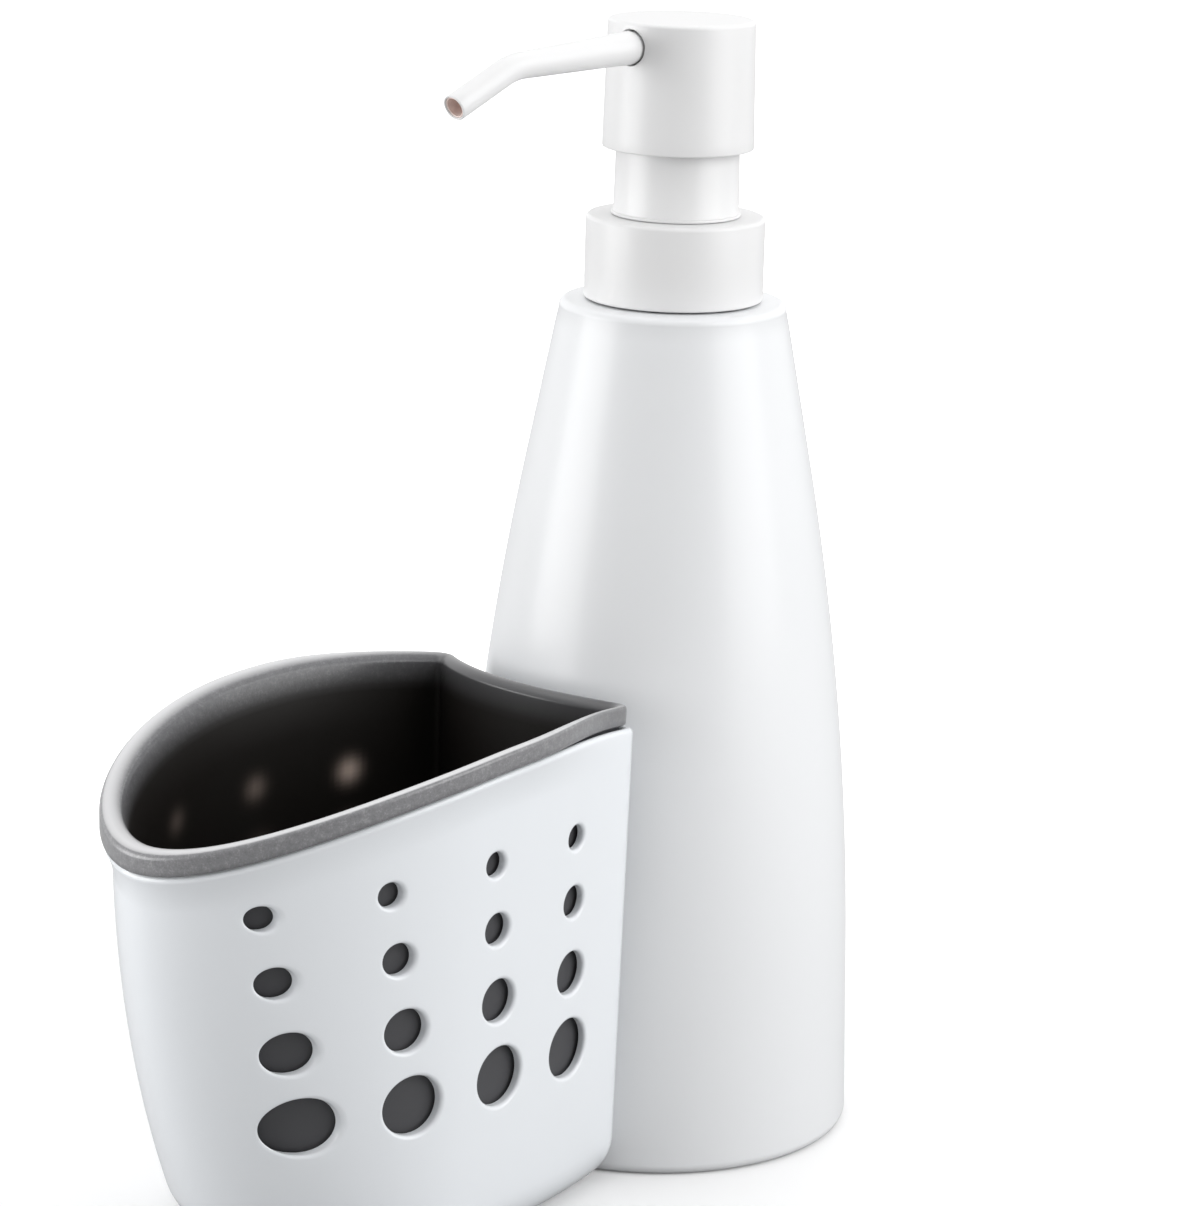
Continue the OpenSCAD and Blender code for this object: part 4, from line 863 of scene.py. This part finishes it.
# Shares of the rim's blasted finish kept by each part. Where less is kept, the rim is painted darker as
# shade: at the band's turned-under foot and down the slope towards the cup.
SHADED_UNDER_BLAST, SHADED_BAND_BLAST, BAND_SHADE_EASE, SLOPE_LOSS, EDGE_BLAST = 0.2, 0.3, 0.06, 0.05, 0.55
WALL_BLAST, BLAST_END, BLAST_FADE, NEST_SHADE_FADE = 0.52, 0.4, 0.38, 14
# Painted light: light-coloured spots put on the cup's interior behind the shell's holes, standing in for
# daylight coming through.
PAINTED_GLOW_ROWS, PAINTED_GLOW_COLUMNS = [1.0, 0.5, 0.35, 0.25], [0.68, 0.18, 0.09, 0.05]
PAINTED_GLOW_LEAN, PAINTED_GLOW_SPREAD = 0.05, 0.95
liner_off = -SHELL_WALL - LINER_GAP
liner_in_off = liner_off - LINER_WALL
liner_round = BOTTOM_ROUND - SHELL_WALL - LINER_GAP
liner_in_round = liner_round - LINER_WALL
foot_z = SHELL_WALL + FOOT_GAP
inner_floor = foot_z + LINER_WALL
steep = radians(80)
top_r = (RIM_W - RIM_EDGE) / sin(RIM_TILT)
slope_drop = top_r * (1 - cos(RIM_TILT))
inner_in = RIM_W + RIM_ROUND * (sin(steep) - sin(RIM_TILT))
inner_drop = slope_drop + RIM_ROUND * (cos(RIM_TILT) - cos(steep))
nest_share = (-liner_in_off - RIM_IN) / inner_in


def rim_rings(pairs, blast_and_shade, fall):
    """Rings of the rim, from how far each is in from its outer face and below its top, each keeping a share
    of the blasted finish; a smaller share paints the rim darker as shade.
    """
    return [(RIM_OVER - inwards, -RIM_IN - inwards * nest_share, -drop, 1.0, fall, blast_and_shade, 0.0)
            for inwards, drop in pairs]


def edge_arc(radius, start, stop, steps):
    """In and drop of a rounded edge, with angles in degrees from its outer side."""
    turns = [radians(start + (stop - start) * i / steps) for i in range(steps + 1)]
    return [(radius * (1 - cos(a)), radius * (1 - sin(a))) for a in turns]


def slope_arc(first, drop, radius, start, stop, steps):
    """In and drop of a rounded slope that starts at a place, with its slope at both ends."""
    turns = [start + (stop - start) * i / steps for i in range(1, steps + 1)]
    return [(first + radius * (sin(a) - sin(start)), drop + radius * (cos(start) - cos(a)))
            for a in turns]


def plain_rings(rings, inside):
    """Rings of the cup's wall and floor, which aren't blasted, each with how much of the interior's painted
    shade it takes.
    """
    return [(*ring, 0.0, inside) for ring in rings]


def painted_glow_at(x, y, z):
    """How much painted light, standing in for daylight through the shell's holes, is put on the cup's wall at
    a place.
    """
    painted_glow = 0.0
    for (hx, hy, hz), radius, (row, column) in zip(hole_centres, hole_radii, hole_places):
        if y * hy > 0:
            spot_x = hx - PAINTED_GLOW_LEAN * (hx + NOSE_S - COLUMN_START)
            away = ((x - spot_x) ** 2 + (z - hz) ** 2) / (radius * PAINTED_GLOW_SPREAD) ** 2
            painted_glow += exp(-away) * PAINTED_GLOW_ROWS[row] * PAINTED_GLOW_COLUMNS[column]
    return min(1.0, painted_glow)


liner_rings = plain_rings(fillet_rings(liner_off, liner_round, foot_z, 90, 0, 8), 0.0)
liner_rings += plain_rings(climb_rings(liner_off, BOTTOM_ROUND, flare_foot, 36), 0.0)
liner_rings += plain_rings(flare_rings(liner_off, LIP_H + 0.8, 10), 0.0)
# Painted shade: the band's turned-under foot keeps little of the finish, so it darkens towards the lip below,
# standing in for the shade between them.
liner_rings += rim_rings([(BAND_T, BAND_H - BAND_GAP), (BAND_T, BAND_H - 0.1), (BAND_T - 0.1, BAND_H)],
                         SHADED_UNDER_BLAST, 1.0)
for step, (inwards, drop) in enumerate(edge_arc(BAND_ROUND, 90, 0, 8)):
    liner_rings += rim_rings([(inwards, BAND_H - drop)], SHADED_BAND_BLAST + BAND_SHADE_EASE * step, 1.0)
for share in (0.75, 0.5, 0.25):
    liner_rings += rim_rings([(0.0, RIM_EDGE + (BAND_H - BAND_ROUND - RIM_EDGE) * share)], 1.0, share)
liner_rings += rim_rings(edge_arc(RIM_EDGE, 0, 90, 7), 1.0, 0.0)
for step, place in enumerate(slope_arc(RIM_EDGE, 0.0, top_r, 0.0, RIM_TILT, 9)):
    liner_rings += rim_rings([place], 1.0 - SLOPE_LOSS * step, 0.0)
liner_rings += rim_rings(slope_arc(RIM_W, slope_drop, RIM_ROUND, RIM_TILT, steep, 5), EDGE_BLAST, 0.0)
wall_start = lip_top - LIP_H * 1.2
inner_edge = RIM_OVER - inner_in
# Down the slope and into the cup the rim's blasted finish fades out, and the wall turns to the interior's
# painted shade.
for in_share, down_share in SLOPE_SHARES:
    kept = WALL_BLAST * max(0.0, min(1.0, (BLAST_END - down_share) / BLAST_FADE))
    liner_rings.append((inner_edge + (liner_in_off - inner_edge) * in_share, liner_in_off,
                        -inner_drop + (wall_start + inner_drop) * down_share, 1.0, 0.0, kept, 1 - kept))
inner_climb = climb_rings(liner_in_off, inner_floor + liner_in_round, wall_start, 80, 0.0)[:-1]
liner_rings += plain_rings(reversed(inner_climb), 1.0)
liner_rings += plain_rings(fillet_rings(liner_in_off, liner_in_round, inner_floor, 0, 90, 8), 1.0)
ring_points = [wall_ring(*ring[:5]) for ring in liner_rings]
masks = {"rim": [], "inside": [], "painted_glow": [], "nest": []}
for (*sizes, blast_and_shade, inside), points in zip(liner_rings, ring_points):
    for number, (x, y, z) in enumerate(points):
        # Painted shade: the rim is darkened beside the bottle, where the bottle shades it, fading out past
        # the corner.
        beside = (min(number, len(points) - number) - ARC_N) / (CORNER_N + NEST_SHADE_FADE)
        masks["nest"].append(max(0.0, min(1.0, 1 - beside)))
        masks["rim"].append(blast_and_shade)
        masks["inside"].append(inside)
        masks["painted_glow"].append(painted_glow_at(x, y, z) if inside > 0.99 and abs(y) > 5 else 0.0)
for name, values in masks.items():
    values += [0.0, 1.0 if name == "inside" else 0.0]
liner_cup = lofted("liner_cup", ring_points, masks)


def speckle_group():
    """Fine light and dark flecks and the same unevenness in height, as a blasted mould leaves."""
    group, sizes, out = new_group("blasted speckle", "ShaderNodeTree", [
        ("Color", "NodeSocketColor", (0.3, 0.3, 0.3, 1)),
        ("Light fleck", "NodeSocketColor", (0.6, 0.6, 0.6, 1)),
        ("Dark fleck", "NodeSocketColor", (0.1, 0.1, 0.1, 1)),
        ("Fleck scale", "NodeSocketFloat", 2600.0), ("Amount", "NodeSocketFloat", 0.6)],
        [("Color", "NodeSocketColor"), ("Height", "NodeSocketFloat")])
    place = put(group, "ShaderNodeTexCoord").outputs["Object"]
    fine = noise(group, place, sizes["Fleck scale"], 2.0, Roughness=0.7)
    coarse = noise(group, place, calc(group, "MULTIPLY", sizes["Fleck scale"], 0.32), 1.0)
    both = calc(group, "ADD", calc(group, "MULTIPLY", fine, 0.6), calc(group, "MULTIPLY", coarse, 0.4))
    light = calc(group, "MULTIPLY", ranged(group, both, (0.53, 0.64)), sizes["Amount"])
    dark = calc(group, "MULTIPLY", ranged(group, both, (0.47, 0.38)), sizes["Amount"])
    lighter = mixed(group, light, sizes["Color"], sizes["Light fleck"])
    wire(group, out, {"Color": mixed(group, dark, lighter, sizes["Dark fleck"]), "Height": both})
    return group


def liner_material():
    """Grey plastic: a speckled rim and a plain outside, with painted shade darkening the interior and spots
    of painted light on it.
    """
    coat = {"Coat Roughness": 0.28, "Specular IOR Level": 0.25}
    material, tree, shader = new_material("liner grey", coat)
    mask = {name: put(tree, "ShaderNodeAttribute", attribute_name=name).outputs["Fac"] for name in masks}
    rim = put(tree, "ShaderNodeGroup", {
        "Color": (0.203, 0.203, 0.211, 1), "Light fleck": (0.33, 0.33, 0.34, 1),
        "Dark fleck": (0.14, 0.14, 0.147, 1)}, node_tree=speckle_group()).outputs
    body = put(tree, "ShaderNodeGroup", {
        "Color": (0.075, 0.075, 0.08, 1), "Shade": (0.06, 0.06, 0.064, 1), "Roughness": 0.5},
        node_tree=skin).outputs
    # Painted shade: the cup's interior is coloured near black, standing in for the shade deep in the cup.
    wall = mixed(tree, mask["inside"], body["Color"], (0.009, 0.0075, 0.0065, 1))
    # Painted light: warm light colour mixed into the interior wall in spots behind the holes.
    glow_painted_wall = mixed(tree, mask["painted_glow"], wall, (0.85, 0.68, 0.59, 1))
    # Painted highlight: faces of the rim that look upwards are lightened towards light grey, standing in for
    # the light falling on the top.
    normal = put(tree, "ShaderNodeSeparateXYZ", {0: put(tree, "ShaderNodeNewGeometry").outputs["Normal"]})
    upward = ranged(tree, normal.outputs["Z"], (0.8, 0.97))
    top_sheen_rim = mixed(tree, upward, rim["Color"], (0.62, 0.62, 0.63, 1))
    # Painted shade: beside the bottle the rim's colour turns to dark grey.
    shaded = mixed(tree, mask["nest"], top_sheen_rim, (0.075, 0.075, 0.078, 1))
    gloss = ranged(tree, mask["rim"], (0.0, 1.0), (0.5, 0.38))
    unevenness = calc(tree, "MULTIPLY", calc(tree, "SUBTRACT", body["Roughness"], 0.5), 1.5)
    depth = calc(tree, "ADD", calc(tree, "MULTIPLY", mask["rim"], 0.8), 0.2)
    height = calc(tree, "MULTIPLY", rim["Height"], depth)
    bump = put(tree, "ShaderNodeBump", {"Height": height, "Strength": 0.22, "Distance": 0.0001})
    wire(tree, shader, {"Base Color": mixed(tree, mask["rim"], glow_painted_wall, shaded),
                        "Roughness": calc(tree, "ADD", gloss, unevenness), "Coat Weight": mask["rim"],
                        "Normal": bump.outputs[0]})
    return material


liner_cup.data.materials.append(liner_material())
tidy_mesh(liner_cup)
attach(liner_cup, "liner")
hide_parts("liner")

# The studio.
# A plain white floor that keeps a soft shadow, a white surround that lights more from one side than from the
# other, three large soft lamps and the camera at the photograph's angle.
world = bpy.data.worlds.new("white surround")
bpy.context.scene.world = world
world.use_nodes = True
sky = world.node_tree
ambient = sky.nodes["Background"]
toward = vec(sky, "DOT_PRODUCT", put(sky, "ShaderNodeTexCoord").outputs["Generated"], (-0.72, -0.69, 0.0))
wire(sky, ambient, {"Color": (1, 1, 1, 1), "Strength": ranged(sky, toward, (-0.6, 0.5), (1.0, 0.42))})
backdrop = put(sky, "ShaderNodeBackground", {"Color": (1, 1, 1, 1), "Strength": 1.0})
seen = put(sky, "ShaderNodeLightPath").outputs["Is Camera Ray"]
surround = put(sky, "ShaderNodeMixShader", {0: seen, 1: ambient.outputs[0], 2: backdrop.outputs[0]})
sky.links.new(surround.outputs[0], sky.nodes["World Output"].inputs["Surface"])

FLOOR_HALF = 3.0
floor_mesh = bpy.data.meshes.new("floor")
floor_mesh.from_pydata([(x * FLOOR_HALF, y * FLOOR_HALF, 0) for x, y in ((-1, -1), (1, -1), (1, 1), (-1, 1))],
                       [], [(0, 1, 2, 3)])
floor = bpy.data.objects.new("floor", floor_mesh)
bpy.context.scene.collection.objects.link(floor)
floor_look = {"Base Color": (0.88, 0.88, 0.88, 1), "Roughness": 0.9}
floor_paint, paint, matt = new_material("floor white", floor_look)
quiet = put(paint, "ShaderNodeBsdfDiffuse", {"Color": (0.42, 0.42, 0.42, 1)})
from_part = vec(paint, "ADD", put(paint, "ShaderNodeTexCoord").outputs["Object"], (0.05, 0.0, 0.0))
far_lift = ranged(paint, vec(paint, "LENGTH", from_part), (0.16, 0.5), (0.06, 1.0))
lift = put(paint, "ShaderNodeEmission", {"Color": (1, 1, 1, 1), "Strength": far_lift})
seen_floor = put(paint, "ShaderNodeAddShader", {0: matt.outputs[0], 1: lift.outputs[0]})
seen = put(paint, "ShaderNodeLightPath").outputs["Is Camera Ray"]
whole = put(paint, "ShaderNodeMixShader", {0: seen, 1: quiet.outputs[0], 2: seen_floor.outputs[0]})
paint.links.new(whole.outputs[0], paint.nodes["Material Output"].inputs["Surface"])
floor_mesh.materials.append(floor_paint)


def soft_lamp(name, place, target, width, height, power):
    """A white area lamp at a place, turned to a target."""
    lamp = bpy.data.lights.new(name, "AREA")
    lamp.shape = "RECTANGLE"
    lamp.size, lamp.size_y = width, height
    lamp.energy = power
    holder = bpy.data.objects.new(name, lamp)
    holder.location = place
    holder.rotation_euler = (Vector(target) - Vector(place)).to_track_quat("-Z", "Y").to_euler()
    bpy.context.scene.collection.objects.link(holder)


soft_lamp("lamp left", (-0.69, 0.46, 0.145), (-0.08, 0, 0.05), 0.6, 0.6, 5.45)
soft_lamp("lamp right", (0.30, -0.95, 0.52), (-0.05, 0, 0.12), 0.9, 1.0, 8.6)
soft_lamp("lamp above", (-0.02, 0.08, 1.15), (-0.05, 0, 0.1), 1.1, 1.1, 3.6)

camera_data = bpy.data.cameras.new("camera")
camera_data.sensor_fit = "VERTICAL"
camera_data.sensor_height = 36.0
camera_data.lens = 121.806
camera_data.clip_start = 0.01
camera = bpy.data.objects.new("camera", camera_data)
right, up, back = (0.69804, -0.71554, 0.02744), (0.16026, 0.19346, 0.96793), (-0.69790, -0.67126, 0.24971)
place = (-0.6250, -0.5822, 0.3345)
camera.matrix_world = Matrix([[right[i], up[i], back[i], place[i]] for i in range(3)] + [[0, 0, 0, 1]])
bpy.context.scene.collection.objects.link(camera)
bpy.context.scene.camera = camera
bpy.context.scene.view_settings.view_transform = "Standard"
